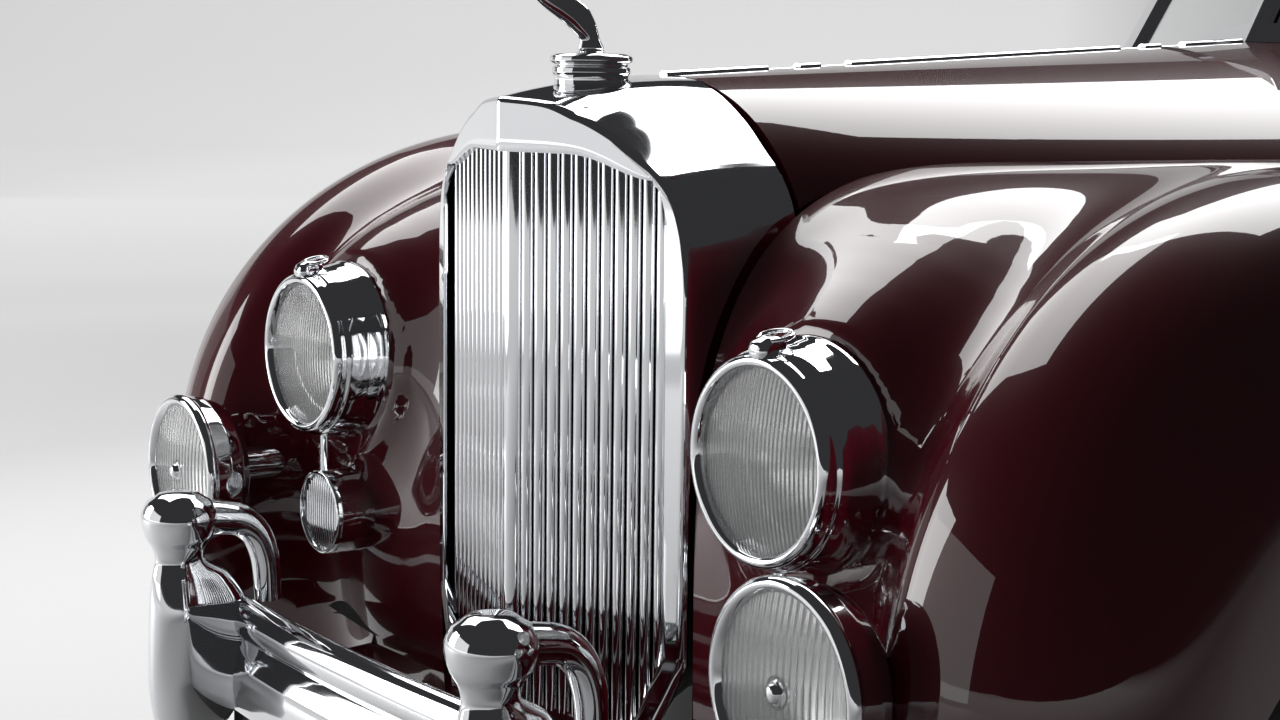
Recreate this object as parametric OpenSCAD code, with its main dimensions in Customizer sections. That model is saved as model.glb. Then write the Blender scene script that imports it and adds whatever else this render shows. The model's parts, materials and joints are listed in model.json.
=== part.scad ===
// 1950s drophead coupe: separate wings, doors, bonnet halves and boot lid on a frame chassis.
// X points to the car's left, the nose is at -Y, Z is up, and the tyres stand on Z = 0.

/* [Overall] */
// Overall length over the overriders
length = 5080; // [5070:2:5090]
// Height of the sill line above the ground
sill_z = 290; // [284:2:296]

/* [Wheels] */
// Tyre diameter
tyre_d = 740; // [730:2:744]
// Tyre section width
tyre_w = 168; // [156:2:172]
// Rim diameter
rim_d = 414; // [400:2:424]
// Front track
track_front = 1440; // [1430:2:1446]
// Rear track
track_rear = 1450; // [1440:2:1456]
// Radius of the wheel arches
arch_r = 432; // [430:1:436]
// Kingpin inset from the wheel's centre plane
kingpin_inset = 84; // [82:1:86]
// Radius of the stub axles
stub_r = 20; // [16:1:22]

/* [Nose] */
// Half width of the radiator shell
shell_half_w = 250; // [247:1:252]
// Depth of the vee in the radiator front
vee_depth = 72; // [64:1:78]
// Width of a shutter blade
blade_w = 12; // [10:1:13]
// Diameter of the filler cap
cap_d = 94; // [84:1:100]

/* [Lamps] */
// Half distance between the headlamps
headlamp_x = 464; // [458:1:470]
// Height of the headlamp centres
headlamp_z = 830; // [824:1:836]
// Outer radius of the headlamp rim
headlamp_r = 115; // [112:1:117]
// Half distance between the fog lamps
fog_x = 624; // [618:1:630]
// Radius of the fog lamp rim
fog_r = 101; // [98:1:103]
// Radius of the round horn grilles
horn_r = 55; // [50:1:57]

/* [Bumpers] */
// Top of the bumper bars
bumper_top = 558; // [552:1:560]
// Half width over the bumper ends
bumper_half_w = 880; // [870:2:890]
// Half distance between the overriders
overrider_x = 351; // [346:1:356]

/* [Cabin] */
// Thickness of the door tops
door_t = 70; // [66:1:74]
// Gap along the shut lines
shut_gap = 6; // [6:0.25:7]
// Height of the windscreen along its slope
screen_h = 350; // [330:5:370]
// Lean of the windscreen from the vertical
screen_rake = 27; // [25:0.5:29]

/* [Hidden] */

nose_y = -length / 2;
tail_y = length / 2;
// Distances from the nose are those of the car at its drawn length; a longer or shorter car
// is stretched between the front and rear wheel arches
drawn_length = 5080;
stretch_start = 1220;
stretch_end = 3340;
stretch = length - drawn_length;
function along(s) = nose_y + s + stretch * clamp01((s - stretch_start) / (stretch_end - stretch_start));
function station(y) = let (d = y - nose_y, span = stretch_end - stretch_start)
    d <= stretch_start ? d : d >= stretch_end + stretch ? d - stretch
    : stretch_start + (d - stretch_start) * span / (span + stretch);
front_axle_y = along(780);
rear_axle_y = along(3830);
axle_z = tyre_d / 2;
front_wheel_x = track_front / 2;
rear_wheel_x = track_rear / 2;
kingpin_x = front_wheel_x - kingpin_inset;
kingpin_r = 12;
seat_gap = 0.3;        // rest clearance between pieces that touch on the real car
fit_gap = 0.05;        // radial clearance of a wheel on its stub
paint = [0.20, 0.02, 0.05];
chrome = [0.82, 0.83, 0.85];
dark = [0.08, 0.08, 0.08];
iron = [0.30, 0.31, 0.32];
hide = [0.62, 0.50, 0.36];
red = [0.60, 0.05, 0.05];
cloth = [0.16, 0.14, 0.13];
pane = [0.70, 0.80, 0.82, 0.35];

// Interpolation along a table whose first column rises
function at(table, n, s) = lookup(s, [for (row = table) [row[0], row[n]]]);
function mix(a, b, t) = a + (b - a) * t;
function clamp01(t) = min(1, max(0, t));
function ease(t) = let (u = clamp01(t)) u * u * (3 - 2 * u);
function from_nose(list) = [for (s = list) along(s)];

// Solid through closed rings of points that all have the same count; a slab's ring runs along one side and back
// along the other, and its ends are closed by strips between the two
module loft(rings, slab = false) {
    n = len(rings[0]);
    m = len(rings);
    polyhedron(
        points = [for (ring = rings) each ring],
        faces = concat(
            slab ? [for (i = [0:n / 2 - 2]) [i, i + 1, n - 2 - i, n - 1 - i]] : [[for (i = [0:n - 1]) i]],
            [for (k = [0:m - 2]) for (i = [0:n - 1]) each [
                [k * n + i, (k + 1) * n + i, k * n + (i + 1) % n],
                [k * n + (i + 1) % n, (k + 1) * n + i, (k + 1) * n + (i + 1) % n]]],
            slab ? [for (i = [0:n / 2 - 2]) [for (j = [n - 1 - i, n - 2 - i, i + 1, i]) (m - 1) * n + j]]
                : [[for (i = [n - 1:-1:0]) (m - 1) * n + i]]),
        convexity = 8);
}
module both_sides() {
    children();
    mirror([1, 0, 0]) children();
}
module right_hand() mirror([1, 0, 0]) children();
// Round bars along X and along Y
module rod_x(r, l) rotate([0, 90, 0]) cylinder(r = r, h = l, $fn = 40);
module rod_y(r, l) rotate([-90, 0, 0]) cylinder(r = r, h = l, $fn = 40);
// Box from one corner to the opposite one
module box(low, high) translate(low) cube(high - low);
// Box that spans both sides of the car
module wide_box(half_w, y0, z0, y1, z1) box([-half_w, y0, z0], [half_w, y1, z1]);
// Revolve of [radius, distance] points about an axis that runs rearwards along Y
module turned_y(points, sides = 48) rotate([-90, 0, 0]) rotate_extrude($fn = sides) polygon(points);
// Revolve of [radius, distance] points about an axis that runs outwards along X
module turned_x(points, sides = 48) rotate([0, 90, 0]) rotate_extrude($fn = sides) polygon(points);
// Outline in X and Z that stands between two places along Y
module upright(y0, y1) translate([0, y1, 0]) rotate([90, 0, 0]) linear_extrude(y1 - y0) children();

// Bonnet and scuttle surface: half ellipses that widen towards the windscreen
bonnet_front = along(495);
bonnet_rear = along(1480);
scuttle_rear = along(1982);
bonnet_t = 12;
bead_r = 8;
bonnet_inner_x = bead_r + shut_gap;
hinge_drop = 3;
hinge_bore_r = 4;
knuckle_len = 44;
// Distances from the nose of the hinge knuckles, left half first
bonnet_knuckles = [[640, 1320], [720, 1240]];
// columns: y, half width of the ellipse, its height, its centre z
bonnet_rows = [[bonnet_front, 260, 225, 961], [bonnet_rear, 620, 272, 967], [scuttle_rear, 735, 290, 968]];
function bonnet_a(y) = at(bonnet_rows, 1, y);
function bonnet_b(y) = at(bonnet_rows, 2, y);
function bonnet_c(y) = at(bonnet_rows, 3, y);
function bonnet_z(x, y) = bonnet_c(y) + bonnet_b(y) * sqrt(1 - pow(x / bonnet_a(y), 2));
// The bonnet's lower edge dips where it meets the radiator shell
function joint_z(y) = y > front_axle_y ? side(y, 2) : 1095 - 48 * exp((bonnet_front - y) / 90);
function joint_x(y) = bonnet_a(y) * sqrt(1 - pow((joint_z(y) - bonnet_c(y)) / bonnet_b(y), 2));

// Body side sections behind the front axle
// columns: distance from the nose, upper edge x z, its fall in degrees, crown x z, widest x z, sill x
side_rows = [
    [780, 303, 1095, 2, 720, 1108, 905, 918, 884],
    [1040, 400, 1097, 3, 725, 1100, 905, 905, 882],
    [1340, 508, 1097, 10, 745, 1068, 905, 868, 880],
    [1540, 560, 1097, 24, 765, 1024, 904, 826, 878],
    [1760, 615, 1095, 48, 785, 965, 902, 775, 876],
    [1982, 672, 1090, 66, 800, 902, 900, 725, 874],
    [2290, 694, 1080, 76, 812, 812, 898, 650, 872],
    [2640, 704, 1074, 80, 820, 722, 896, 575, 870],
    [2940, 706, 1068, 82, 822, 680, 894, 530, 868],
    [3140, 706, 1064, 80, 812, 730, 894, 550, 868],
    [3340, 702, 1060, 76, 800, 820, 898, 610, 868],
    [3540, 692, 1054, 72, 792, 890, 903, 665, 870],
    [3830, 664, 1040, 62, 785, 930, 905, 700, 872],
    [4140, 622, 1016, 52, 770, 918, 900, 690, 866],
    [4440, 570, 975, 44, 735, 872, 880, 660, 842],
    [4680, 515, 915, 36, 680, 808, 838, 620, 800],
    [4790, 465, 855, 28, 615, 745, 760, 590, 730],
    [4850, 405, 790, 20, 520, 690, 640, 565, 620],
    [4900, 350, 730, 12, 430, 650, 520, 550, 500]];
upper_steps = 6;
crown_steps = 5;
low_steps = 4;
function side(y, n) = at(side_rows, n, station(y));
function edge_x(y) = y <= scuttle_rear ? joint_x(y) + shut_gap + 2 : side(y, 1);
// Cubic that leaves the upper edge at the fall angle and arrives level at the crown
function upper_curve(xa, za, fall, xb, zb, t) =
    let (reach = (xb - xa) * 0.9 + abs(za - zb) * 0.35,
         h0 = 2 * t * t * t - 3 * t * t + 1,
         h1 = t * t * t - 2 * t * t + t,
         h3 = t * t * t - t * t)
    [h0 * xa + h1 * reach * cos(fall) + (1 - h0) * xb + h3 * reach * 0.8,
     h0 * za - h1 * reach * sin(fall) + (1 - h0) * zb];
function roll(t) = pow(max(t, 0), 0.95);
// Points of the body side from its upper edge down to a foot height
function side_points(y, foot_z) =
    let (xb = side(y, 4), zb = side(y, 5), xc = side(y, 6), zc = side(y, 7), xd = side(y, 8))
    concat(
        [for (i = [0:upper_steps - 1])
            let (p = upper_curve(edge_x(y), joint_z(y), side(y, 3), xb, zb, i / upper_steps)) [p[0], y, p[1]]],
        [for (i = [0:crown_steps - 1]) let (t = 90 * i / crown_steps)
            [mix(xb, xc, roll(sin(t))), y, mix(zc, zb, roll(cos(t)))]],
        [for (i = [0:low_steps]) let (t = i / low_steps) [mix(xc, xd, t * t), y, mix(zc, foot_z, t)]]);

// Nose of the front wing: sections that fan round a point above the wheel
fan_z = 620;
fan_start = -28;
fan_steps = 13;
fan_root_r = 150;
crest_x = 720;
wing_x = 905;
roll_r = 190;
function oval_r(phi, a, b, n) = pow(pow(abs(cos(phi)) / a, n) + pow(abs(sin(phi)) / b, n), -1 / n);
function crest_r(phi) = oval_r(phi, 557, 488, 2.1);
function shoulder_r(phi) = oval_r(phi, 432, 475, 3.2);
function valley(phi, x) = let (t = (x - 300) / 400)
    t <= 0 || t >= 1 || phi >= 89 ? 0 : 70 * pow(cos(phi), 1.2) * pow(sin(180 * pow(t, 1.6)), 2);
function nose_r(phi, x) = mix(shoulder_r(phi), crest_r(phi), ease((x - 300) / 420)) - valley(phi, x);
function nose_inner_x(phi) = let (y = front_axle_y - shoulder_r(phi) * cos(phi))
    max(shell_half_w + 8, y < bonnet_front ? 0 : joint_x(y) + shut_gap + 2);
// Outline of a nose section from its inner edge to its foot, as [x, radius]
function nose_curve(phi) = concat(
    [for (i = [0:upper_steps - 1]) let (x = mix(nose_inner_x(phi), crest_x, i / upper_steps)) [x, nose_r(phi, x)]],
    [for (i = [0:crown_steps - 1]) let (t = 90 * i / crown_steps)
        [mix(crest_x, wing_x, roll(sin(t))), crest_r(phi) - roll_r * (1 - roll(cos(t)))]],
    [for (i = [0:low_steps]) let (t = i / low_steps)
        [wing_x - 21 * t * t, mix(crest_r(phi) - roll_r, fan_root_r, t)]]);
function fan_point(phi, x, r) = [x, front_axle_y - r * cos(phi), fan_z + r * sin(phi)];
function fan_ring(phi) = concat(
    [for (p = nose_curve(phi)) fan_point(phi, p[0], p[1])],
    [fan_point(phi, nose_inner_x(phi), fan_root_r), fan_point(phi, nose_inner_x(phi), fan_root_r + 100)]);
// columns: distance from the nose, inner face of the wing
wing_inner_rows = [[780, 303], [1040, 400], [1480, 535], [1982, 600]];
function wing_inner_x(y) = at(wing_inner_rows, 1, station(y));
function wing_ring(y) = concat(side_points(y, sill_z),
    [[wing_inner_x(y), y, sill_z], [wing_inner_x(y), y, joint_z(y) - 60]]);
wing_stations = from_nose([781, 860, 940, 1040, 1180, 1340, 1480, 1620, 1760, 1880, 1982]);

headlamp_front = along(260);
headlamp_depth = 74;
pod_front = headlamp_front + headlamp_depth + seat_gap;
// columns: radius of the headlamp pod, distance behind its mouth
pod_rows = [[122, 0], [134, 12], [153, 40], [168, 75], [180, 110], [186, 150], [184, 230]];
rail_notch_top = 452;
rail_notch_x = 425;
door_front = scuttle_rear + shut_gap;
door_hinge_x = 902;
door_hinge_y = door_front - 3;
door_hinge_heights = [500, 760];
door_pin_r = 5;
door_barrel_r = 9;
door_barrel_h = 40;
door_lug_h = 14;
door_hinge_half = door_barrel_h / 2 + 2 + door_lug_h;
// Upright cylinder about the door's hinge line, centred on each hinge
module on_door_hinge(r, half_h, lift = 0) for (z = door_hinge_heights)
    translate([door_hinge_x, door_hinge_y, z + lift - half_h]) cylinder(r = r, h = 2 * half_h, $fn = 32);
module wing_loft() loft(concat([for (i = [0:fan_steps]) fan_ring(mix(fan_start, 90, i / fan_steps))],
    [for (y = wing_stations) wing_ring(y)]));
module wing() {
    difference() {
        union() {
            wing_loft();
            translate([headlamp_x, pod_front, headlamp_z]) turned_y(concat([[0, 0]], pod_rows, [[0, 230]]), 40);
        }
        translate([290, front_axle_y, axle_z]) rod_x(arch_r, 800);
        translate([headlamp_x, nose_y, headlamp_z]) rod_y(headlamp_r + 2, pod_front - nose_y);
        box([200, nose_y, 200], [rail_notch_x, front_axle_y - 330, rail_notch_top]);
        on_door_hinge(door_barrel_r + shut_gap, door_barrel_h / 2 + 2);
    }
    on_door_hinge(door_pin_r, door_hinge_half);
    for (s = [-1, 1], z = door_hinge_heights) {
        lug_z = z + s * (door_hinge_half - door_lug_h / 2);
        translate([door_hinge_x, door_hinge_y, lug_z - door_lug_h / 2])
            cylinder(r = door_barrel_r, h = door_lug_h, $fn = 32);
        box([door_hinge_x - 24, door_hinge_y - 30, lug_z - door_lug_h / 2],
            [door_hinge_x, door_hinge_y, lug_z + door_lug_h / 2]);
    }
}
// The wing's nose moved forward by the rest gap, to trim what stands on it
module wing_trim() translate([0, -seat_gap, 0]) wing_loft();
module front_wing_left() color(paint) wing();
module front_wing_right() color(paint) right_hand() wing();

// Bonnet halves that hinge beside the centre strip
bonnet_cols = 8;
bonnet_stations = from_nose([495, 530, 580, 660, 780, 860, 940, 1040, 1180, 1340, 1480]);
function bonnet_ring(y) =
    let (xs = [for (i = [0:bonnet_cols]) mix(bonnet_inner_x, joint_x(y), sin(90 * i / bonnet_cols))])
    concat([for (x = xs) [x, y, bonnet_z(x, y)]],
        [for (i = [bonnet_cols:-1:0])
            [max(bonnet_inner_x, xs[i] * (1 - bonnet_t / bonnet_a(y))), y, bonnet_z(xs[i], y) - bonnet_t]]);
// Bar along the bonnet's centre line, between two distances from the nose
module centre_bar(s0, s1, r) let (y0 = nose_y + s0, y1 = nose_y + s1, z0 = bonnet_z(0, y0), z1 = bonnet_z(0, y1))
    translate([0, y0, z0 - hinge_drop]) rotate([atan2(z1 - z0, y1 - y0) - 90, 0, 0])
        cylinder(r = r, h = norm([y1 - y0, z1 - z0]), $fn = 32);
module bonnet_half(hand) difference() {
    union() {
        loft([for (y = bonnet_stations) bonnet_ring(y)], true);
        for (s = bonnet_knuckles[hand]) {
            centre_bar(s, s + knuckle_len, bead_r);
            translate([0, 0, bonnet_z(0, nose_y + s) - hinge_drop - 4])
                box([hinge_bore_r + 2, nose_y + s, 0], [bonnet_inner_x + 4, nose_y + s + knuckle_len, 8]);
        }
    }
    for (s = bonnet_knuckles[hand]) centre_bar(s - 1, s + knuckle_len + 1, hinge_bore_r + fit_gap);
}
module bonnet_left() color(paint) bonnet_half(0);
module bonnet_right() color(paint) right_hand() bonnet_half(1);
module bonnet_strip() color(chrome) difference() {
    centre_bar(bonnet_front - nose_y - shut_gap + seat_gap, bonnet_rear - nose_y + shut_gap - seat_gap, bead_r);
    for (side_list = bonnet_knuckles, k = side_list) difference() {
        centre_bar(k - 2, k + knuckle_len + 2, bead_r + 1);
        centre_bar(k - 3, k + knuckle_len + 3, hinge_bore_r);
    }
}

// Radiator shell with a vee front
shell_ridge_y = along(267);
shell_back_y = bonnet_front - shut_gap;
shell_foot = 452;
shell_wall = 14;
// columns: part of the half width, height of the shell's outline
crown_rows = [for (row = [[0, 1186], [0.24, 1181], [0.4, 1168], [0.6, 1139], [0.8, 1097], [0.98, 1052], [1, 1035]])
    [row[0] * shell_half_w, row[1]]];
shell_foot_half_w = shell_half_w - 60;
module shell_outline(inset) offset(delta = -inset)
    polygon(concat(crown_rows, [[shell_half_w, 570], [shell_foot_half_w, shell_foot],
        [-shell_foot_half_w, shell_foot], [-shell_half_w, 570]],
        [for (i = [len(crown_rows) - 1:-1:1]) [-crown_rows[i][0], crown_rows[i][1]]]));
// Slab that follows the vee in plan, from one depth behind the ridge to another
module vee_slab(d0, d1) {
    half_w = shell_half_w + 10;
    back = vee_depth * half_w / shell_half_w;
    translate([0, shell_ridge_y, 0]) linear_extrude(1300)
        polygon([[0, d0], [half_w, d0 + back], [half_w, d1 + back], [0, d1], [-half_w, d1 + back],
            [-half_w, d0 + back]]);
}
module slat_opening(inset) intersection() {
    shell_outline(inset);
    translate([-300, 464 + inset]) square([600, 664 - 2 * inset]);
}
module radiator_shell() color(chrome) difference() {
    intersection() {
        upright(shell_ridge_y - 1, shell_back_y) shell_outline(0);
        vee_slab(0, 400);
        union() {
            vee_slab(0, 45);
            upright(shell_ridge_y - 1, shell_back_y) difference() {
                shell_outline(0);
                shell_outline(shell_wall);
            }
        }
    }
    upright(shell_ridge_y - 10, shell_back_y + 1) slat_opening(26);
}
blade_count = 11;
blade_pitch = 18;
module radiator_shutters() color(chrome) intersection() {
    vee_slab(10, 34);
    upright(shell_ridge_y, shell_back_y) intersection() {
        slat_opening(26 + seat_gap);
        union() {
            translate([-14, 0]) square([28, 1300]);
            for (i = [1:blade_count], s = [-1, 1])
                translate([s * (i * blade_pitch + 8) - blade_w / 2, 0]) square([blade_w, 1300]);
            difference() {
                slat_opening(26);
                slat_opening(38);
            }
        }
    }
}
core_y = shell_ridge_y + 130;
core_half_w = shell_half_w - 45;
module radiator_core() color(dark) difference() {
    union() {
        wide_box(core_half_w, core_y, 560, shell_back_y - 10, 1030);
        wide_box(core_half_w - 45, core_y, shell_foot + shell_wall + seat_gap, shell_back_y - 10, 561);
    }
    for (z = [580:40:1000]) wide_box(core_half_w - 15, core_y - 1, z, core_y + 16, z + 18);
}
cap_y = along(390);
cap_z = crown_rows[0][1] + seat_gap;
cap_h = 28;
module filler_cap() color(chrome) translate([0, cap_y, cap_z]) rotate_extrude($fn = 48)
    polygon([[0, 0], [cap_d / 2, 0], [cap_d / 2, 9], [cap_d / 2 - 8, 12], [30, 13], [30, 20], [24, 26], [0, cap_h]]);
// columns: height above the cap, sweep forward, half length, half width
mascot_rows = [[0, 0, 16, 9], [10, -2, 12, 8], [26, -14, 20, 7], [44, -34, 30, 6], [62, -60, 26, 4], [72, -80, 8, 2]];
module mascot() color(chrome) translate([0, cap_y, cap_z + cap_h + seat_gap])
    loft([for (row = mascot_rows) [for (i = [0:11]) [row[3] * cos(30 * i), row[1] + row[2] * sin(30 * i), row[0]]]]);

// Lamps
module headlamp() translate([headlamp_x, headlamp_front, headlamp_z])
    turned_y([[0, 12], [60, 4], [87, 14], [88, 2], [94, -2], [101, 2], [104, 16], [109, 40],
        [headlamp_r, 66], [headlamp_r, headlamp_depth], [0, headlamp_depth]]);
module headlamp_left() color(chrome) headlamp();
module headlamp_right() color(chrome) right_hand() headlamp();
fog_z = 663;
fog_front = along(162);
module fog_lamp() difference() {
    translate([fog_x, fog_front, fog_z]) {
        turned_y([[0, 4], [16, 4], [18, 8], [50, 6], [86, 10], [88, 0], [fog_r, 0], [fog_r, 10],
            [fog_r - 4, 18], [92, 46], [70, 68], [40, 80], [0, 84]]);
        rod_y(22, 130);
    }
    wing_trim();
}
module fog_lamp_left() color(chrome) fog_lamp();
module fog_lamp_right() color(chrome) right_hand() fog_lamp();
horn_z = 622;
horn_front = along(288);
module horn_grille() difference() {
    translate([headlamp_x, horn_front, horn_z]) {
        difference() {
            turned_y([[0, 6], [horn_r - 8, 6], [horn_r - 8, 0], [horn_r - 4, -4], [horn_r, 0], [horn_r, 75],
                [0, 75]]);
            for (x = [-45:7:45]) intersection() {
                rod_y(horn_r - 7, 20);
                box([x - 2, 0, -60], [x + 2, 20, 60]);
            }
        }
    }
    wing_trim();
}
module horn_grilles() color(chrome) both_sides() horn_grille();

// Bumper bars bowed in plan, with a roll, a groove and a main face
// columns: distance in front of the bar's back, distance below its top
bumper_rows = [[0, 0], [-10, 4], [-20, 16], [-24, 30], [-20, 44], [-8, 50], [-16, 58], [-26, 84], [-26, 112],
    [-14, 146], [-4, 150], [0, 140], [-8, 100], [-6, 60], [4, 46], [6, 12]];
bumper_half_h = 75;
bumper_stations = [-1, -0.97, -0.88, -0.76, -0.62, -0.46, -0.28, -0.1, 0.1, 0.28, 0.46, 0.62, 0.76, 0.88, 0.97, 1];
bumper_back = 114;
bow_depth = 150;
bow_half_w = 880;
function bumper_bow(x) = bow_depth * pow(abs(x) / bow_half_w, 2.6);
module bumper_bar() loft([for (s = bumper_stations)
    let (x = s * bumper_half_w, k = abs(s) > 0.98 ? 0.62 : 1)
    [for (p = bumper_rows)
        [x, along(bumper_back) + bumper_bow(x) + p[0], bumper_top - bumper_half_h + (bumper_half_h - p[1]) * k]]]);
rail_x = 380;
rail_w = 70;
rail_end = along(180);
module bumper() {
    bumper_bar();
    both_sides() box([rail_x - 18, along(132), 340], [rail_x + 18, rail_end - seat_gap, 450]);
}
// columns: height, half width, reach forwards, reach back
overrider_rows = [[392, 16, 20, 20], [410, 28, 32, 60], [470, 33, 40, 86], [540, 33, 38, 86], [590, 27, 34, 60],
    [612, 23, 30, 30], [624, 26, 32, 32], [640, 40, 40, 40], [662, 47, 44, 44], [680, 38, 38, 38], [692, 14, 16, 16]];
overrider_y = along(44);
// columns: distance behind the knob's middle, height, fall in degrees, radius
arm_rows = [[10, 660, 0, 22], [72, 652, 20, 20], [102, 626, 60, 18], [112, 590, 82, 17], [114, 548, 90, 16]];
module overrider() difference() {
    union() {
        translate([overrider_x, overrider_y, 0]) loft([for (row = overrider_rows) [for (i = [0:15])
            let (t = 22.5 * i) [row[1] * cos(t), (sin(t) < 0 ? row[2] : row[3]) * sin(t), row[0]]]]);
        loft([for (row = arm_rows) [for (i = [0:9]) let (t = -36 * i)
            [overrider_x + row[3] * cos(t), overrider_y + row[0] + row[3] * sin(t) * sin(row[2]),
                row[1] + row[3] * sin(t) * cos(row[2])]]]);
    }
    bumper_bar();
}
module front_bumper() color(chrome) bumper();
module front_overriders() color(chrome) both_sides() overrider();
module rear_bumper() color(chrome) mirror([0, 1, 0]) bumper();
module rear_overriders() color(chrome) mirror([0, 1, 0]) both_sides() overrider();
// columns: distance from the nose, height, half width
apron_rows = [[190, 426.4, 600], [300, 449, 600], [301, 449, 420], [340, shell_foot - seat_gap, 420]];
module front_apron() color(paint) loft([for (row = apron_rows) let (y = along(row[0]))
    [[-row[2], y, row[1] - 8], [-row[2], y, row[1]], [row[2], y, row[1]], [row[2], y, row[1] - 8]]]);

// Wheels and tyres
module tyre() color(dark) turned_x([[rim_d / 2 + seat_gap, -58], [rim_d / 2 + 22, -76], [280, -tyre_w / 2],
    [320, -80], [350, -66], [366, -54], [tyre_d / 2, -30], [tyre_d / 2, 30], [366, 54], [350, 66], [320, 80],
    [280, tyre_w / 2], [rim_d / 2 + 22, 76], [rim_d / 2 + seat_gap, 58]], 64);
module wheel() color(chrome) turned_x([[stub_r + fit_gap, -24], [60, -24], [60, 4], [120, 24], [176, 10],
    [186, -58], [rim_d / 2 - 2, -66], [rim_d / 2, -56], [rim_d / 2, 56], [rim_d / 2 - 2, 70], [190, 66], [184, 40],
    [150, 44], [120, 48], [100, 62], [60, 70], [0, 74], [0, 34], [stub_r + fit_gap, 34]], 64);
module at_wheel(x, y) translate([x, y, axle_z]) mirror([x < 0 ? 1 : 0, 0, 0]) children();
module wheel_front_left() at_wheel(front_wheel_x, front_axle_y) wheel();
module wheel_front_right() at_wheel(-front_wheel_x, front_axle_y) wheel();
module wheel_rear_left() at_wheel(rear_wheel_x, rear_axle_y) wheel();
module wheel_rear_right() at_wheel(-rear_wheel_x, rear_axle_y) wheel();
module tyre_front_left() at_wheel(front_wheel_x, front_axle_y) tyre();
module tyre_front_right() at_wheel(-front_wheel_x, front_axle_y) tyre();
module tyre_rear_left() at_wheel(rear_wheel_x, rear_axle_y) tyre();
module tyre_rear_right() at_wheel(-rear_wheel_x, rear_axle_y) tyre();

// Steering knuckles on kingpins held by short arms
module knuckle() difference() {
    translate([kingpin_x, front_axle_y, axle_z]) {
        translate([0, 0, -50]) cylinder(r = 26, h = 100, $fn = 40);
        rod_x(34, kingpin_inset - 34);
        rod_x(stub_r, kingpin_inset + 28);
    }
    translate([kingpin_x, front_axle_y, axle_z - 100]) cylinder(r = kingpin_r + fit_gap, h = 200, $fn = 40);
}
module knuckle_left() color(iron) knuckle();
module knuckle_right() color(iron) right_hand() knuckle();
rail_inner = rail_x - rail_w / 2;
module front_suspension() color(iron) {
    both_sides() {
        translate([kingpin_x, front_axle_y, axle_z - 80]) cylinder(r = kingpin_r, h = 160, $fn = 40);
        for (z = [axle_z - 80, axle_z + 56])
            box([rail_inner - 40, front_axle_y - 24, z], [kingpin_x + 24, front_axle_y + 24, z + 24]);
    }
    wide_box(rail_inner - seat_gap, front_axle_y - 50, axle_z - 80, front_axle_y + 50, axle_z + 80);
}

// Chassis: two rails that rise over the rear axle, joined by cross members
// columns: distance from the nose, underside height
rail_rows = [[180, 318], [880, 318], [1040, 345], [3385, 345], [3590, 439.7], [4040, 439.7], [4290, 345],
    [4900, 330]];
rail_h = 100;
member_top = 400;
casing_r = 36;
// Underside of the leaf springs that rest on the axle casing
spring_z = axle_z + casing_r + seat_gap;
module chassis_frame() color(dark) {
    both_sides() loft([for (row = rail_rows) [for (p = [[0, 0], [0, rail_h], [rail_w, rail_h], [rail_w, 0]])
        [rail_inner + p[0], along(row[0]), row[1] + p[1]]]]);
    for (s = [210, 1080, 1300, 2340, 3240, 4390])
        wide_box(rail_inner + 1, along(s) - 28, 340, along(s) + 28, member_top);
    both_sides() box([rail_inner + 10, along(3520), spring_z], [rail_inner + 60, along(4120), spring_z + 20]);
}
// columns: radius of the axle casing, distance from the middle
casing_rows = [[105, 40], [80, 95], [casing_r, 130], [casing_r, rear_wheel_x - 36], [stub_r, rear_wheel_x - 36],
    [stub_r, rear_wheel_x + 28], [0, rear_wheel_x + 28]];
module rear_axle() color(iron) translate([0, rear_axle_y, axle_z]) turned_x(concat(
    [for (i = [len(casing_rows) - 1:-1:0]) [casing_rows[i][0], -casing_rows[i][1]]], casing_rows), 40);
module engine_block() color(iron) {
    wide_box(170, along(640), 500, along(1340), 820);
    wide_box(110, along(660), 819, along(1320), 940);
    wide_box(120, along(900), member_top + seat_gap, along(1320), 501);
}
pipe_z = 340 - 60 - seat_gap;
module exhaust() color(iron) {
    translate([180, along(1500), pipe_z]) rod_y(24, along(4900) - along(1500));
    translate([180, along(3040), pipe_z]) rod_y(60, 400);
}
tank_top = 540 - seat_gap;
module fuel_tank() color(dark) wide_box(330, along(4440), 350, along(4800), tank_top);

// Scuttle and bulkhead between the wings
scuttle_front = bonnet_rear + shut_gap;
scuttle_cols = 9;
scuttle_foot = 470;
function scuttle_half(y, drop, thin) =
    let (x_foot = wing_inner_x(y) - seat_gap - thin)
    concat([for (i = [0:scuttle_cols]) let (x = (joint_x(y) - thin) * sin(90 * i / scuttle_cols))
            [x, y, bonnet_z(x, y) - drop]],
        [[x_foot - 8, y, joint_z(y) - 60 - drop], [x_foot, y, scuttle_foot - drop]]);
function full_ring(half) = concat(half,
    [for (i = [len(half) - 1:-1:1]) [-half[i][0], half[i][1], half[i][2]]]);
scuttle_stations = [scuttle_front, along(1620), along(1760), along(1880), scuttle_rear];
module scuttle_solid(lift) loft([for (y = scuttle_stations) full_ring(scuttle_half(y, -lift, -lift))]);
module scuttle() color(paint) difference() {
    scuttle_solid(0);
    loft([for (y = [scuttle_front + 24, along(1620), along(1760), along(1880), scuttle_rear - 0.01])
        full_ring(scuttle_half(y, 16, 24))]);
    wide_box(570, scuttle_rear - 1, scuttle_foot - 1, scuttle_rear + 1, joint_z(scuttle_rear) - 80);
}
floor_t = 24;
floor_top = scuttle_foot - seat_gap;
sill_top = 324;
door_foot = sill_top + shut_gap;
door_rear = along(3140);
cabin_half_w = 636;
arch_start = rear_axle_y - 452;
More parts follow.
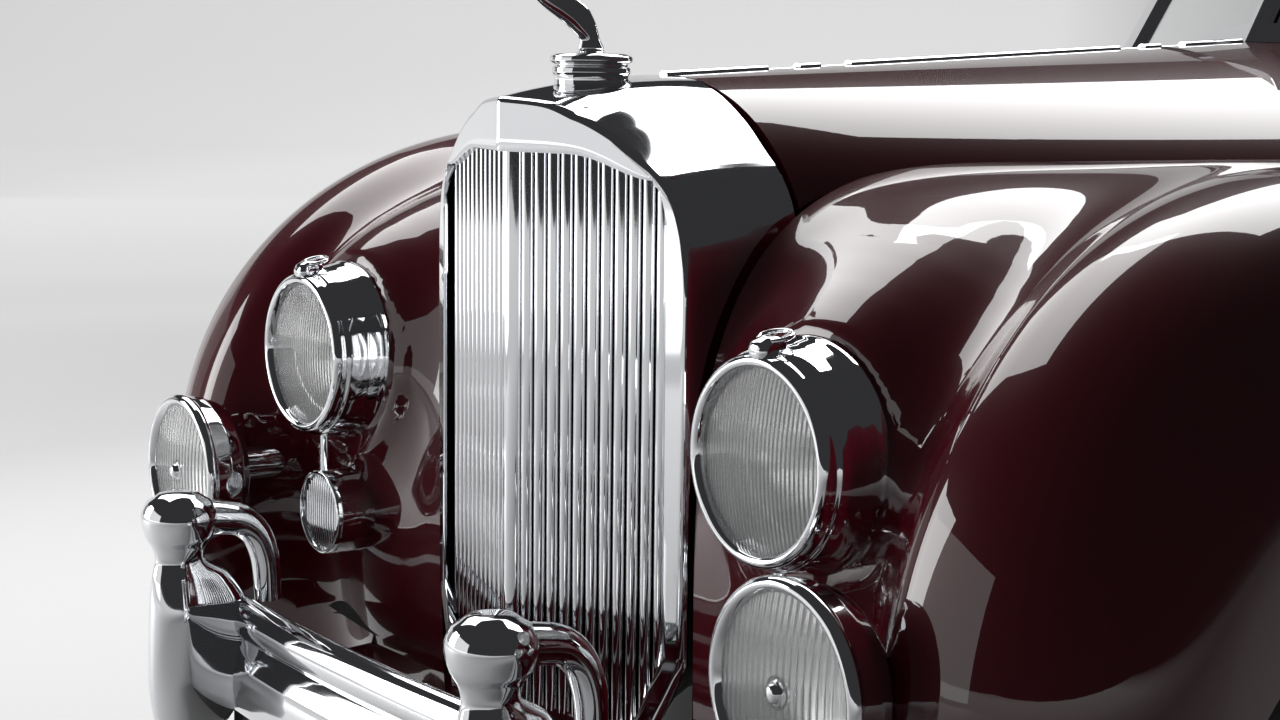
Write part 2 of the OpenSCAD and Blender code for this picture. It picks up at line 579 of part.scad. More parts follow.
module floor_pan() color(dark) {
    wide_box(530, scuttle_front + 30, floor_top - floor_t, arch_start - 1, floor_top);
    both_sides() difference() {
        union() {
            box([500, scuttle_rear + seat_gap, sill_z], [864, door_rear, sill_top]);
            box([500, scuttle_rear + seat_gap, sill_top - 1], [720, door_rear, floor_top]);
            box([500, door_rear - 200, floor_top - floor_t], [cabin_half_w - seat_gap, arch_start - 1, floor_top]);
        }
        difference() {
            behind_shut(shut_gap - seat_gap);
            wide_box(cabin_half_w - seat_gap, scuttle_rear, 0, arch_start, 1000);
        }
    }
}
dash_y = along(1680);
module dashboard() color(hide) difference() {
    wide_box(700, dash_y, 900, dash_y + 60, 1300);
    difference() {
        wide_box(800, dash_y - 100, 800, dash_y + 100, 1400);
        loft([for (y = [along(1620), along(1760)]) full_ring(scuttle_half(y, 16.5, 24.5))]);
    }
}
wheel_lean = 62;
rim_r = 200;
steering_y = along(1980);
column_l = (steering_y - scuttle_front) / sin(wheel_lean) + 80;
module steering_wheel() color(dark) difference() {
    translate([-345, steering_y, 960]) rotate([-wheel_lean, 0, 0]) {
        rotate_extrude($fn = 48) translate([rim_r, 0]) circle(r = 13, $fn = 16);
        for (a = [30:120:270]) rotate([0, 0, a]) translate([0, -8, -6]) cube([rim_r + 1, 16, 10]);
        cylinder(r = 34, h = 20, center = true, $fn = 32);
        translate([0, 0, -column_l]) cylinder(r = 16, h = column_l - 4, $fn = 24);
    }
    wide_box(800, nose_y, 0, scuttle_front + 24 + seat_gap, 1400);
}

// Windscreen in two swept halves that stand on the scuttle
screen_sweep = 35;
screen_foot_y = along(1530);
screen_foot_z = 1262;
screen_edge = 728;
screen_bar_half_w = 14;
module on_screen(behind, thick, inner_x) intersection() {
    translate([0, screen_foot_y, screen_foot_z]) rotate([0, 0, screen_sweep]) rotate([-screen_rake, 0, 0])
        rotate([90, 0, 0]) translate([0, 0, -behind]) linear_extrude(thick) children();
    box([inner_x, nose_y, 900], [1000, rear_axle_y, 1700]);
}
module screen_outline() polygon([[-40, -80], [560, -198], [screen_edge, -198], [screen_edge + 4, screen_h - 70],
    [screen_edge - 16, screen_h - 22], [screen_edge - 60, screen_h], [-200, screen_h]]);
// columns: distance along the foot of the glass, its height
pane_rows = [[12, -2], [200, -12], [400, -50], [560, -92], [screen_edge - 60, -140]];
module pane_outline(inset) offset(delta = -inset) polygon(concat(pane_rows,
    [[screen_edge - 58, screen_h - 90], [screen_edge - 72, screen_h - 40], [screen_edge - 100, screen_h - 24],
     [-200, screen_h - 24], [-200, -2]]));
module windscreen_frame() color(chrome) difference() {
    both_sides() difference() {
        on_screen(14, 28, 0) screen_outline();
        on_screen(15, 30, screen_bar_half_w) pane_outline(0);
    }
    scuttle_solid(seat_gap);
    both_sides() translate([-seat_gap, 0, seat_gap]) wing_loft();
}
module windscreen_glass() color(pane) both_sides()
    on_screen(3, 6, screen_bar_half_w + seat_gap) pane_outline(seat_gap);

// Doors as thick as the whole side; the rear edge is bevelled to swing clear
door_bevel = 0.25;
function door_ring(y) = let (outer = side_points(y, door_foot), n = len(outer))
    concat(outer, [[outer[n - 1][0] - door_t, y, door_foot], [outer[0][0] - door_t, y, outer[0][2]]]);
module behind_shut(shift) translate([0, door_rear + shift, 0]) linear_extrude(1600)
    polygon([[0, -door_bevel * door_hinge_x], [door_hinge_x + 50, door_bevel * 50],
        [door_hinge_x + 50, 600], [0, 600]]);
door_stations = concat([door_front], from_nose([2140, 2290, 2460, 2640, 2800, 2940, 3040, 3140, 3160]));
module door() difference() {
    union() {
        difference() {
            loft([for (y = door_stations) door_ring(y)]);
            behind_shut(0);
            on_door_hinge(door_barrel_r + shut_gap, door_hinge_half + shut_gap);
        }
        on_door_hinge(door_barrel_r, door_barrel_h / 2);
        for (z = door_hinge_heights) box([door_hinge_x - 20, door_front, z - door_barrel_h / 2],
            [door_hinge_x, door_front + 18, z + door_barrel_h / 2]);
    }
    on_door_hinge(door_pin_r + fit_gap, door_barrel_h);
}
module door_left() color(paint) door();
module door_right() color(paint) right_hand() door();

// Rear body: quarters, rear wings, deck and tail in one shell
deck_crown = 45;
lid_front = along(4010);
lid_rear = along(4780);
lid_t = 22;
well_floor = 880;
boot_floor = 566;
function deck_z(x, y) = side(y, 2) + deck_crown * (1 - pow(x / edge_x(y), 2));
function lid_half_w(y) = edge_x(y) - 70;
function rear_foot(y) = sill_z + 70 * ease((y - rear_axle_y - 400) / 700);
function rear_half(y) = concat([for (i = [0:5]) let (x = edge_x(y) * i / 6) [x, y, deck_z(x, y)]],
    side_points(y, rear_foot(y)));
rear_stations = from_nose([3000, 3140, 3240, 3340, 3440, 3540, 3680, 3830, 3985, 4035, 4140, 4290, 4440,
    4560, 4680, 4740, 4790, 4850, 4900]);
module rear_solid() loft([for (y = rear_stations) full_ring(rear_half(y))]);
lid_stations = from_nose([4140, 4290, 4440, 4560, 4680, 4740]);
// columns: distance from the nose, half width of the boot
boot_rows = [[3700, 500], [4440, 470], [4680, 420], [4820, 330]];
boot_lip = 25;
boot_mouth_z = 700;
// Slab under the deck surface that covers the lid, grown sideways, from one depth to another
module lid_slab(grow, top, bottom) loft([for (y = concat([lid_front - grow], lid_stations, [lid_rear + grow]))
    let (w = lid_half_w(y) + grow, n = 10, xs = [for (i = [0:n]) w * sin(mix(-90, 90, i / n))])
    concat([for (x = xs) [x, y, deck_z(x, y) - top]],
        [for (i = [n:-1:0]) [xs[i], y, deck_z(xs[i], y) - bottom]])], true);
module rear_body() color(paint) difference() {
    rear_solid();
    both_sides() difference() {
        box([-1, along(2700), 0], [1000, door_rear + 100, 1600]);
        behind_shut(shut_gap);
    }
    wide_box(cabin_half_w, scuttle_rear, 0, arch_start, 1600);
    wide_box(530, scuttle_rear, boot_floor, along(3660), 1600);
    wide_box(520, along(3600), well_floor, along(3980), 1600);
    wide_box(510, scuttle_rear, 0, along(4830), 540);
    wide_box(425, along(4800), 0, tail_y, 440);
    wide_box(549, rear_axle_y - 60, 0, rear_axle_y + 60, axle_z + 60);
    loft([for (row = boot_rows) let (y = along(row[0]), top = min(deck_z(0, y) - 60, 850))
        [[row[1], y, boot_floor], [-row[1], y, boot_floor], [-row[1], y, top], [row[1], y, top]]]);
    loft([for (y = [lid_front + 31, along(4440), along(4680), lid_rear - 31])
        let (w = at(boot_rows, 1, station(y)) - boot_lip)
        [[w, y, boot_mouth_z], [-w, y, boot_mouth_z], [-w, y, 1200], [w, y, 1200]]]);
    lid_slab(shut_gap, -60, lid_t + shut_gap);
    both_sides() translate([548, rear_axle_y, axle_z]) rod_x(arch_r, 600);
}
lid_hinge_x = 300;
lid_hinge_z = deck_z(0, lid_front) + 4;
lid_pin_r = 5;
lid_barrel_r = 9;
module lid_hinge_rod(r, half_w, bore_r = 0) both_sides()
    translate([lid_hinge_x - half_w, lid_front, lid_hinge_z]) difference() {
    rod_x(r, 2 * half_w);
    if (bore_r > 0) translate([-1, 0, 0]) rod_x(bore_r, 2 * half_w + 2);
}
module boot_hinges() color(chrome) {
    lid_hinge_rod(lid_pin_r, 42);
    both_sides() difference() {
        for (s = [-1, 1]) translate([lid_hinge_x + s * 35 - 7, 0, 0]) {
            translate([0, lid_front, lid_hinge_z]) rod_x(lid_barrel_r, 14);
            box([0, lid_front - 40, lid_hinge_z - 30], [14, lid_front - 0.1, lid_hinge_z + 2]);
        }
        translate([0, 0, seat_gap]) rear_solid();
        box([0, lid_front - shut_gap, 0], [600, lid_front + 30, lid_hinge_z - lid_barrel_r]);
    }
}
module boot_lid() color(paint) difference() {
    union() {
        lid_slab(0, 0, lid_t);
        both_sides() box([lid_hinge_x - 26, lid_front - 4, lid_hinge_z - 22],
            [lid_hinge_x + 26, lid_front + 16, lid_hinge_z]);
        lid_hinge_rod(lid_barrel_r, 26);
    }
    lid_hinge_rod(lid_pin_r + fit_gap, 60);
}
module tail_lamp() difference() {
    translate([560, along(4800), 640]) turned_y([[0, 0], [34, 0], [34, 70], [30, 88], [18, 96], [0, 98]], 24);
    rear_solid();
}
module tail_lamps() color(red) both_sides() tail_lamp();

// Seats and folded hood
module cushion(low, high, r) translate(low + [r, r, r]) minkowski() {
    cube(high - low - 2 * [r, r, r]);
    sphere(r = r / cos(11.25), $fn = 16);
}
module front_seats() color(hide) both_sides() {
    cushion([70, along(2120), scuttle_foot], [590, along(2660), 690], 50);
    cushion([70, along(2600), 640], [590, along(2740), 1090], 50);
}
module rear_seat() color(hide) {
    cushion([-520, along(3100), boot_floor + seat_gap], [520, along(3560), 760], 50);
    cushion([-520, along(3500), 700], [520, along(3640), 1080], 50);
    wide_box(500, along(3130), scuttle_foot, arch_start - 2, 640);
}
module hood_stack() color(cloth) cushion([-510, along(3680), well_floor + seat_gap], [510, along(3970), 1150], 60);

chassis_frame();
front_suspension();
engine_block();
radiator_core();
rear_axle();
exhaust();
fuel_tank();
knuckle_left();
knuckle_right();
wheel_front_left();
wheel_front_right();
wheel_rear_left();
wheel_rear_right();
tyre_front_left();
tyre_front_right();
tyre_rear_left();
tyre_rear_right();
radiator_shell();
radiator_shutters();
filler_cap();
mascot();
bonnet_strip();
bonnet_left();
bonnet_right();
front_wing_left();
front_wing_right();
front_apron();
headlamp_left();
headlamp_right();
fog_lamp_left();
fog_lamp_right();
horn_grilles();
front_bumper();
front_overriders();
rear_bumper();
rear_overriders();
scuttle();
floor_pan();
dashboard();
steering_wheel();
windscreen_frame();
windscreen_glass();
door_left();
door_right();
rear_body();
boot_lid();
boot_hinges();
tail_lamps();
front_seats();
rear_seat();
hood_stack();
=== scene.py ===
import json
import math
import bpy
import bmesh
import numpy as np
from mathutils import Matrix, Vector


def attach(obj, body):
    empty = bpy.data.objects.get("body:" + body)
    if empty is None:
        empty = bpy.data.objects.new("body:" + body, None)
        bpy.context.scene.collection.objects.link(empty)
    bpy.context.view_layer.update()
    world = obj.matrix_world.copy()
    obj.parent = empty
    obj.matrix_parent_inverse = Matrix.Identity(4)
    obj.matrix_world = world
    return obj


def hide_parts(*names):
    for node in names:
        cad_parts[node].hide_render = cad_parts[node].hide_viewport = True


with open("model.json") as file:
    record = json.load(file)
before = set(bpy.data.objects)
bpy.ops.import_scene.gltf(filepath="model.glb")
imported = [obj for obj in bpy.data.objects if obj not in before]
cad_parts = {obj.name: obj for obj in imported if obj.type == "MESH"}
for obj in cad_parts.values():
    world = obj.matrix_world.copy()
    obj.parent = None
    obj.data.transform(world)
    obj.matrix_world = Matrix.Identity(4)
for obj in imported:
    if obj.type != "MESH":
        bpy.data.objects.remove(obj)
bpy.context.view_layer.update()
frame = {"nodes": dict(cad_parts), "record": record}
MM = 0.001
HAND = {1: "left", -1: "right"}

# Camera, at the photograph's angle
CAM_PLACE = (2.0420, -3.5400, 1.1890)
CAM_AZ, CAM_EL, CAM_ROLL = math.radians(54.42), math.radians(7.464), math.radians(0.606)
CAM_LENS, SENSOR_WIDTH = 61.84, 36
CLIP_NEAR, CLIP_FAR = 0.05, 100


def camera():
    level = math.cos(CAM_EL)
    back = Vector((math.sin(CAM_AZ) * level, -math.cos(CAM_AZ) * level, math.sin(CAM_EL)))
    right = Vector((math.cos(CAM_AZ), math.sin(CAM_AZ), 0))
    up = back.cross(right)
    right = right * math.cos(CAM_ROLL) + up * math.sin(CAM_ROLL)
    up = back.cross(right)
    data = bpy.data.cameras.new("camera")
    data.lens = CAM_LENS
    data.sensor_width = SENSOR_WIDTH
    data.sensor_fit = "HORIZONTAL"
    data.clip_start = CLIP_NEAR
    data.clip_end = CLIP_FAR
    obj = bpy.data.objects.new("camera", data)
    bpy.context.scene.collection.objects.link(obj)
    m = Matrix((right, up, back)).transposed().to_4x4()
    m.translation = CAM_PLACE
    obj.matrix_world = m
    bpy.context.scene.camera = obj


camera()


# Materials
def material(name):
    mat = bpy.data.materials.new(name)
    mat.use_nodes = True
    nt = mat.node_tree
    return mat, nt, nt.nodes["Principled BSDF"]


def set_inputs(bsdf, **values):
    for key, value in values.items():
        bsdf.inputs[key.replace("_", " ")].default_value = value


def texture(nt, kind, scale, **values):
    coord = nt.nodes.new("ShaderNodeTexCoord")
    tex = nt.nodes.new(kind)
    nt.links.new(coord.outputs["Object"], tex.inputs["Vector"])
    tex.inputs["Scale"].default_value = scale
    for key, value in values.items():
        tex.inputs[key.replace("_", " ")].default_value = value
    return tex


def ramp(nt, source, stops):
    node = nt.nodes.new("ShaderNodeValToRGB")
    nt.links.new(source, node.inputs["Fac"])
    els = node.color_ramp.elements
    while len(els) < len(stops):
        els.new(0.5)
    for el, (pos, col) in zip(els, stops):
        el.position = pos
        el.color = (*col, 1) if len(col) == 3 else col
    return node.outputs["Color"]


def bump(nt, bsdf, source, strength, distance, into="Normal"):
    node = nt.nodes.new("ShaderNodeBump")
    node.inputs["Strength"].default_value = strength
    node.inputs["Distance"].default_value = distance
    nt.links.new(source, node.inputs["Height"])
    nt.links.new(node.outputs["Normal"], bsdf.inputs[into])
    return node


def math_node(nt, kind, operation, *sources):
    """Math node whose first inputs are linked to sockets or set to values."""
    node = nt.nodes.new(kind)
    node.operation = operation
    for socket, source in zip(node.inputs, sources):
        if isinstance(source, bpy.types.NodeSocket):
            nt.links.new(source, socket)
        else:
            socket.default_value = source
    return node


def grey(v):
    return (v, v, v)


def wander(nt, socket, scale, detail, low, high, stops=(0.3, 0.7)):
    """Noise that wanders between two colours, linked into a socket."""
    noise = texture(nt, "ShaderNodeTexNoise", scale, Detail=detail)
    nt.links.new(ramp(nt, noise.outputs["Fac"], [(stops[0], low), (stops[1], high)]), socket)
    return noise


def speckled(name, dark, light, scale, rough=(0.4, 0.6), bump_by=0.0, **values):
    """Material whose colour and roughness wander between two values, with a fine bump."""
    mat, nt, bsdf = material(name)
    noise = wander(nt, bsdf.inputs["Base Color"], scale, 4.0, dark, light)
    wander(nt, bsdf.inputs["Roughness"], scale * 0.23, 3.0, grey(rough[0]), grey(rough[1]))
    if bump_by:
        bump(nt, bsdf, noise.outputs["Fac"], bump_by, 0.0005)
    set_inputs(bsdf, **values)
    return mat


def paint_material():
    mat, nt, bsdf = material("paint")
    wander(nt, bsdf.inputs["Base Color"], 1.3, 2.0, (0.066, 0.0020, 0.0066), (0.080, 0.0026, 0.0084),
           (0.35, 0.65))
    set_inputs(bsdf, Roughness=0.32, Coat_Weight=1.0, Coat_Roughness=0.015, Coat_IOR=1.66,
               Specular_IOR_Level=0.05)
    peel = texture(nt, "ShaderNodeTexNoise", 260.0, Detail=1.0)
    bump(nt, bsdf, peel.outputs["Fac"], 0.02, 0.0002, "Coat Normal")
    return mat


def chrome_material(name="chrome", base=(0.80, 0.81, 0.83), rough=(0.025, 0.06)):
    mat, nt, bsdf = material(name)
    wander(nt, bsdf.inputs["Roughness"], 9.0, 5.0, grey(rough[0]), grey(rough[1]))
    wander(nt, bsdf.inputs["Base Color"], 2.0, 2.0, tuple(0.97 * c for c in base), base)
    set_inputs(bsdf, Metallic=1.0)
    return mat


def leather_material(name, dark, light):
    mat, nt, bsdf = material(name)
    grain = texture(nt, "ShaderNodeTexVoronoi", 420.0)
    wander(nt, bsdf.inputs["Base Color"], 7.0, 4.0, dark, light)
    wander(nt, bsdf.inputs["Roughness"], 18.0, 3.0, grey(0.38), grey(0.52))
    bump(nt, bsdf, grain.outputs["Distance"], 0.25, 0.0006)
    set_inputs(bsdf, Coat_Weight=0.08, Coat_Roughness=0.3)
    return mat


def fabric_material(name, dark, light):
    mat, nt, bsdf = material(name)
    wander(nt, bsdf.inputs["Base Color"], 25.0, 5.0, dark, light)
    weave = texture(nt, "ShaderNodeTexMagic", 900.0)
    bump(nt, bsdf, weave.outputs["Fac"], 0.35, 0.0005)
    set_inputs(bsdf, Roughness=0.9, Sheen_Weight=0.25, Sheen_Roughness=0.4)
    return mat


def wood_material():
    mat, nt, bsdf = material("wood")
    coord = nt.nodes.new("ShaderNodeTexCoord")
    place = nt.nodes.new("ShaderNodeMapping")
    place.inputs["Scale"].default_value = (1.5, 14, 14)
    nt.links.new(coord.outputs["Object"], place.inputs["Vector"])
    noise = nt.nodes.new("ShaderNodeTexNoise")
    noise.inputs["Scale"].default_value = 5.0
    noise.inputs["Detail"].default_value = 8.0
    noise.inputs["Distortion"].default_value = 1.6
    nt.links.new(place.outputs["Vector"], noise.inputs["Vector"])
    stops = [(0.25, (0.035, 0.012, 0.005)), (0.5, (0.12, 0.045, 0.016)), (0.75, (0.22, 0.095, 0.035))]
    nt.links.new(ramp(nt, noise.outputs["Fac"], stops), bsdf.inputs["Base Color"])
    set_inputs(bsdf, Roughness=0.35, Coat_Weight=0.8, Coat_Roughness=0.05)
    return mat


def glass_material():
    mat, nt, bsdf = material("glass")
    wander(nt, bsdf.inputs["Roughness"], 6.0, 3.0, grey(0.0), grey(0.02))
    set_inputs(bsdf, Base_Color=(0.96, 0.98, 0.98, 1), Transmission_Weight=1.0, IOR=1.48)
    return mat


MAT = {
    "paint": paint_material(),
    "chrome": chrome_material(),
    "wheel": chrome_material("wheel_chrome", (0.72, 0.73, 0.75), (0.05, 0.12)),
    "bowl": chrome_material("reflector", (0.97, 0.97, 0.96), (0.22, 0.28)),
    "chassis": speckled("chassis_black", (0.012, 0.012, 0.012), (0.03, 0.029, 0.028), 60, (0.4, 0.6), 0.15),
    "iron": speckled("cast_iron", (0.05, 0.048, 0.046), (0.10, 0.098, 0.095), 90, (0.45, 0.7), 0.3,
                     Metallic=0.6),
    "core": speckled("radiator_matrix", (0.004, 0.004, 0.004), (0.02, 0.018, 0.015), 200, (0.5, 0.8), 0.3),
    "pipe": speckled("exhaust_steel", (0.16, 0.14, 0.12), (0.32, 0.29, 0.26), 40, (0.35, 0.6), 0.1,
                     Metallic=0.9),
    "tyre": speckled("tyre_rubber", (0.010, 0.010, 0.010), (0.022, 0.021, 0.020), 130, (0.55, 0.8), 0.25),
    "glass": glass_material(),
    "plastic": speckled("ebonite", (0.008, 0.008, 0.008), (0.02, 0.018, 0.017), 30, (0.12, 0.2), 0.0),
    "wood": wood_material(),
    "leather": leather_material("leather", (0.42, 0.31, 0.20), (0.52, 0.40, 0.27)),
    "cloth": fabric_material("hood_cloth", (0.012, 0.010, 0.010), (0.03, 0.026, 0.025)),
    "lamp_red": speckled("lamp_red_glass", (0.30, 0.004, 0.004), (0.42, 0.008, 0.006), 300, (0.05, 0.12),
                         0.2),
}
slot_of = {p["node"]: p["material_slot"] for p in frame["record"]["subparts"]}
for node_name, node_obj in frame["nodes"].items():
    node_obj.data.materials.clear()
    node_obj.data.materials.append(MAT[slot_of[node_name]])


# Mesh helpers
def new_piece(name, verts, faces, body, mat, replaces=(), smooth=40.0, weld=0.0):
    mesh = bpy.data.meshes.new(name)
    mesh.from_pydata([tuple(v) for v in verts], [], [tuple(f) for f in faces])
    if weld:
        bm = bmesh.new()
        bm.from_mesh(mesh)
        bmesh.ops.remove_doubles(bm, verts=bm.verts, dist=weld)
        bm.to_mesh(mesh)
        bm.free()
    mesh.validate()
    mesh.polygons.foreach_set("use_smooth", [True] * len(mesh.polygons))
    mesh.set_sharp_from_angle(angle=math.radians(smooth))
    mesh.materials.append(MAT[mat])
    obj = bpy.data.objects.new(name, mesh)
    bpy.context.scene.collection.objects.link(obj)
    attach(obj, body)
    if replaces:
        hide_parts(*replaces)
    return obj


class Build:
    """Collects grids of points in millimetres into one mesh."""

    def __init__(self):
        self.verts, self.faces = [], []

    def grid(self, points, wrap=False, flip=False):
        p = np.asarray(points, float)
        m, n = p.shape[:2]
        base = len(self.verts)
        self.verts.extend((p.reshape(-1, 3) * MM).tolist())
        for i in range(m - 1):
            for j in range(n if wrap else n - 1):
                a, b = base + i * n + j, base + i * n + (j + 1) % n
                c, d = base + (i + 1) * n + (j + 1) % n, base + (i + 1) * n + j
                self.faces.append((a, d, c, b) if flip else (a, b, c, d))
        return self

    def cap(self, ring, flip=False):
        base = len(self.verts)
        self.verts.extend((np.asarray(ring, float) * MM).tolist())
        idx = list(range(base, base + len(ring)))
        self.faces.append(tuple(reversed(idx)) if flip else tuple(idx))
        return self

    def hem(self, edge, near, far, flip=False):
        """Turns an edge of a skin in by two more rows of points, near and far away from it."""
        return self.grid([edge, edge + near, edge + far], flip=flip)

    def mirrored(self, sign):
        if sign > 0:
            return self
        out = Build()
        out.verts = [(-v[0], v[1], v[2]) for v in self.verts]
        out.faces = [tuple(reversed(f)) for f in self.faces]
        return out

    def joined(self, other):
        base = len(self.verts)
        self.verts.extend(other.verts)
        self.faces.extend(tuple(i + base for i in f) for f in other.faces)
        return self

    def piece(self, name, body, mat, slot=None, replaces=(), smooth=40.0, weld=0.0002):
        return new_piece(name, self.verts, self.faces, body, mat, replaces, smooth, weld)


def revolve(profile, origin, axis, sides=96):
    """Build with a profile of (radius, distance) turned about an axis through origin."""
    axis = np.asarray(axis, float) / np.linalg.norm(axis)
    side = np.cross(axis, (0, 0, 1) if abs(axis[2]) < 0.9 else (1, 0, 0))
    side /= np.linalg.norm(side)
    other = np.cross(axis, side)
    t = np.linspace(0, 2 * np.pi, sides, endpoint=False)
    rings = []
    for r, d in profile:
        centre = np.asarray(origin, float) + axis * d
        rings.append(centre + np.outer(np.cos(t) * r, side) + np.outer(np.sin(t) * r, other))
    return Build().grid(rings, wrap=True)


def fine(profile, step):
    """Profile with more points on its straight runs."""
    out = []
    for (a, b) in zip(profile[:-1], profile[1:]):
        n = max(1, int(np.hypot(b[0] - a[0], b[1] - a[1]) / step))
        out += [(a[0] + (b[0] - a[0]) * k / n, a[1] + (b[1] - a[1]) * k / n) for k in range(n)]
    return out + [profile[-1]]


def rounded(profile, r=2.0, n=4, closed=False):
    """Profile whose corners are rounded off by arcs of about radius r."""
    p = [np.asarray(q, float) for q in profile]
    out = []
    for i, q in enumerate(p):
        if not closed and i in (0, len(p) - 1):
            out.append(q)
            continue
        a, b = p[i - 1] - q, p[(i + 1) % len(p)] - q
        la, lb = np.linalg.norm(a), np.linalg.norm(b)
        cut = min(r, la * 0.45, lb * 0.45)
        s, e = q + a / la * cut, q + b / lb * cut
        for k in range(n + 1):
            t = k / n
            out.append((1 - t) ** 2 * s + 2 * t * (1 - t) * q + t * t * e)
    return [tuple(v) for v in out]


def tube(path, r, sides=16, closed=False):
    """Build of a round tube of radius r, or a list of radii, along a path."""
    p = np.asarray(path, float)
    n = len(p)
    if closed:
        tan = np.array([p[(i + 1) % n] - p[i - 1] for i in range(n)])
    else:
        tan = np.array([p[min(i + 1, n - 1)] - p[max(i - 1, 0)] for i in range(n)])
    tan /= np.linalg.norm(tan, axis=1)[:, None]
    ref = np.cross(tan[0], (0, 0, 1) if abs(tan[0][2]) < 0.9 else (1, 0, 0))
    rings = []
    radii = np.broadcast_to(r, (n,))
    t = np.linspace(0, 2 * np.pi, sides, endpoint=False)
    for i in range(n):
        ref = ref - tan[i] * ref.dot(tan[i])
        ref /= np.linalg.norm(ref)
        other = np.cross(tan[i], ref)
        rings.append(p[i] + radii[i] * (np.outer(np.cos(t), ref) + np.outer(np.sin(t), other)))
    if closed:
        rings.append(rings[0])
    b = Build().grid(rings, wrap=True)
    if not closed:
        b.cap(rings[0], flip=True).cap(rings[-1])
    return b


# Shapes of the body, in millimetres, from the same tables as the solids
NOSE = -2540.0
FRONT_AXLE, REAR_AXLE, AXLE_Z, ARCH_R = -1760.0, 1290.0, 370.0, 432.0
SHUT = 6.0
BONNET_FRONT, BONNET_BACK, SCUTTLE_FRONT, SCUTTLE_BACK = -2045.0, -1060.0, -1054.0, -558.0
# Rows of y, half width, crown and height of the springing line
BONNET_ROWS = np.array([[BONNET_FRONT, 260, 225, 961], [BONNET_BACK, 620, 272, 967],
                        [SCUTTLE_BACK, 735, 290, 968]], float)
# Rows of distance from the nose, upper edge x and z, fall, shoulder x and z, widest x and z, foot x
SIDE_ROWS = np.array([
    [780, 303, 1095, 2, 720, 1108, 905, 918, 884], [1040, 400, 1097, 3, 725, 1100, 905, 905, 882],
    [1340, 508, 1097, 10, 745, 1068, 905, 868, 880], [1540, 560, 1097, 24, 765, 1024, 904, 826, 878],
    [1760, 615, 1095, 48, 785, 965, 902, 775, 876], [1982, 672, 1090, 66, 800, 902, 900, 725, 874],
    [2290, 694, 1080, 76, 812, 812, 898, 650, 872], [2640, 704, 1074, 80, 820, 722, 896, 575, 870],
    [2940, 706, 1068, 82, 822, 680, 894, 530, 868], [3140, 706, 1064, 80, 812, 730, 894, 550, 868],
    [3340, 702, 1060, 76, 800, 820, 898, 610, 868], [3540, 692, 1054, 72, 792, 890, 903, 665, 870],
    [3830, 664, 1040, 62, 785, 930, 905, 700, 872], [4140, 622, 1016, 52, 770, 918, 900, 690, 866],
    [4440, 570, 975, 44, 735, 872, 880, 660, 842], [4680, 515, 915, 36, 680, 808, 838, 620, 800],
    [4790, 465, 855, 28, 615, 745, 760, 590, 730], [4850, 405, 790, 20, 520, 690, 640, 565, 620],
    [4900, 350, 730, 12, 430, 650, 520, 550, 500]], float)


def slopes(x, y):
    """End slopes of the monotone cubic through the points."""
    h, d = np.diff(x), np.diff(y) / np.diff(x)
    m = np.zeros(len(x))
    m[0], m[-1] = d[0], d[-1]
    for i in range(1, len(x) - 1):
        if d[i - 1] * d[i] > 0:
            w1, w2 = 2 * h[i] + h[i - 1], h[i] + 2 * h[i - 1]
            m[i] = (w1 + w2) / (w1 / d[i - 1] + w2 / d[i])
    return m


def hermite(x, v, m, at):
    """Value at one place on the cubic through (x, v) with the slopes m."""
    i = min(max(int(np.searchsorted(x, at, side="right")) - 1, 0), len(x) - 2)
    h = x[i + 1] - x[i]
    t = (at - x[i]) / h
    return ((2 * t ** 3 - 3 * t ** 2 + 1) * v[i] + (t ** 3 - 2 * t ** 2 + t) * h * m[i]
            + (-2 * t ** 3 + 3 * t ** 2) * v[i + 1] + (t ** 3 - t ** 2) * h * m[i + 1])


SIDE_SLOPES = [None] + [slopes(SIDE_ROWS[:, 0], SIDE_ROWS[:, n]) for n in range(1, 9)]


def side(y, n):
    """Column n of the side's table at y."""
    s = min(max(y - NOSE, SIDE_ROWS[0, 0]), SIDE_ROWS[-1, 0])
    return hermite(SIDE_ROWS[:, 0], SIDE_ROWS[:, n], SIDE_SLOPES[n], s)


def bonnet(y, n):
    """Column n of the bonnet's rows at y."""
    return float(np.interp(y, BONNET_ROWS[:, 0], BONNET_ROWS[:, n]))


def bonnet_z(x, y):
    return bonnet(y, 3) + bonnet(y, 2) * np.sqrt(np.maximum(0, 1 - (np.asarray(x) / bonnet(y, 1)) ** 2))


def line_at(x, y, z):
    """Points across the car at one y."""
    return np.stack([x, np.full_like(x, y), z], axis=1)


def joint_z(y):
    """Height of the seam between bonnet and wing."""
    return side(y, 2) if y > FRONT_AXLE else 1095 - 48 * math.exp((BONNET_FRONT - y) / 90)


def joint_x(y):
    return bonnet(y, 1) * math.sqrt(1 - ((joint_z(y) - bonnet(y, 3)) / bonnet(y, 2)) ** 2)


def edge_x(y):
    """Half width at the upper edge of the body side."""
    return joint_x(y) + SHUT + 2 if y <= SCUTTLE_BACK else side(y, 1)


def mix(a, b, t):
    """From a at t = 0 to b at t = 1."""
    return a + (b - a) * t


def ease(t):
    t = np.clip(t, 0, 1)
    return t * t * (3 - 2 * t)


def roll(t):
    return np.maximum(t, 0) ** 0.95


def upper_curve(xa, za, fall, xb, zb, t):
    """Curve from the upper edge, leaving it at the fall in degrees, to the shoulder."""
    f = math.radians(fall)
    reach = (xb - xa) * 0.9 + abs(za - zb) * 0.35
    h0, h1, h3 = 2 * t ** 3 - 3 * t ** 2 + 1, t ** 3 - 2 * t ** 2 + t, t ** 3 - t ** 2
    return (h0 * xa + h1 * reach * math.cos(f) + (1 - h0) * xb + h3 * reach * 0.8,
            h0 * za - h1 * reach * math.sin(f) + (1 - h0) * zb)


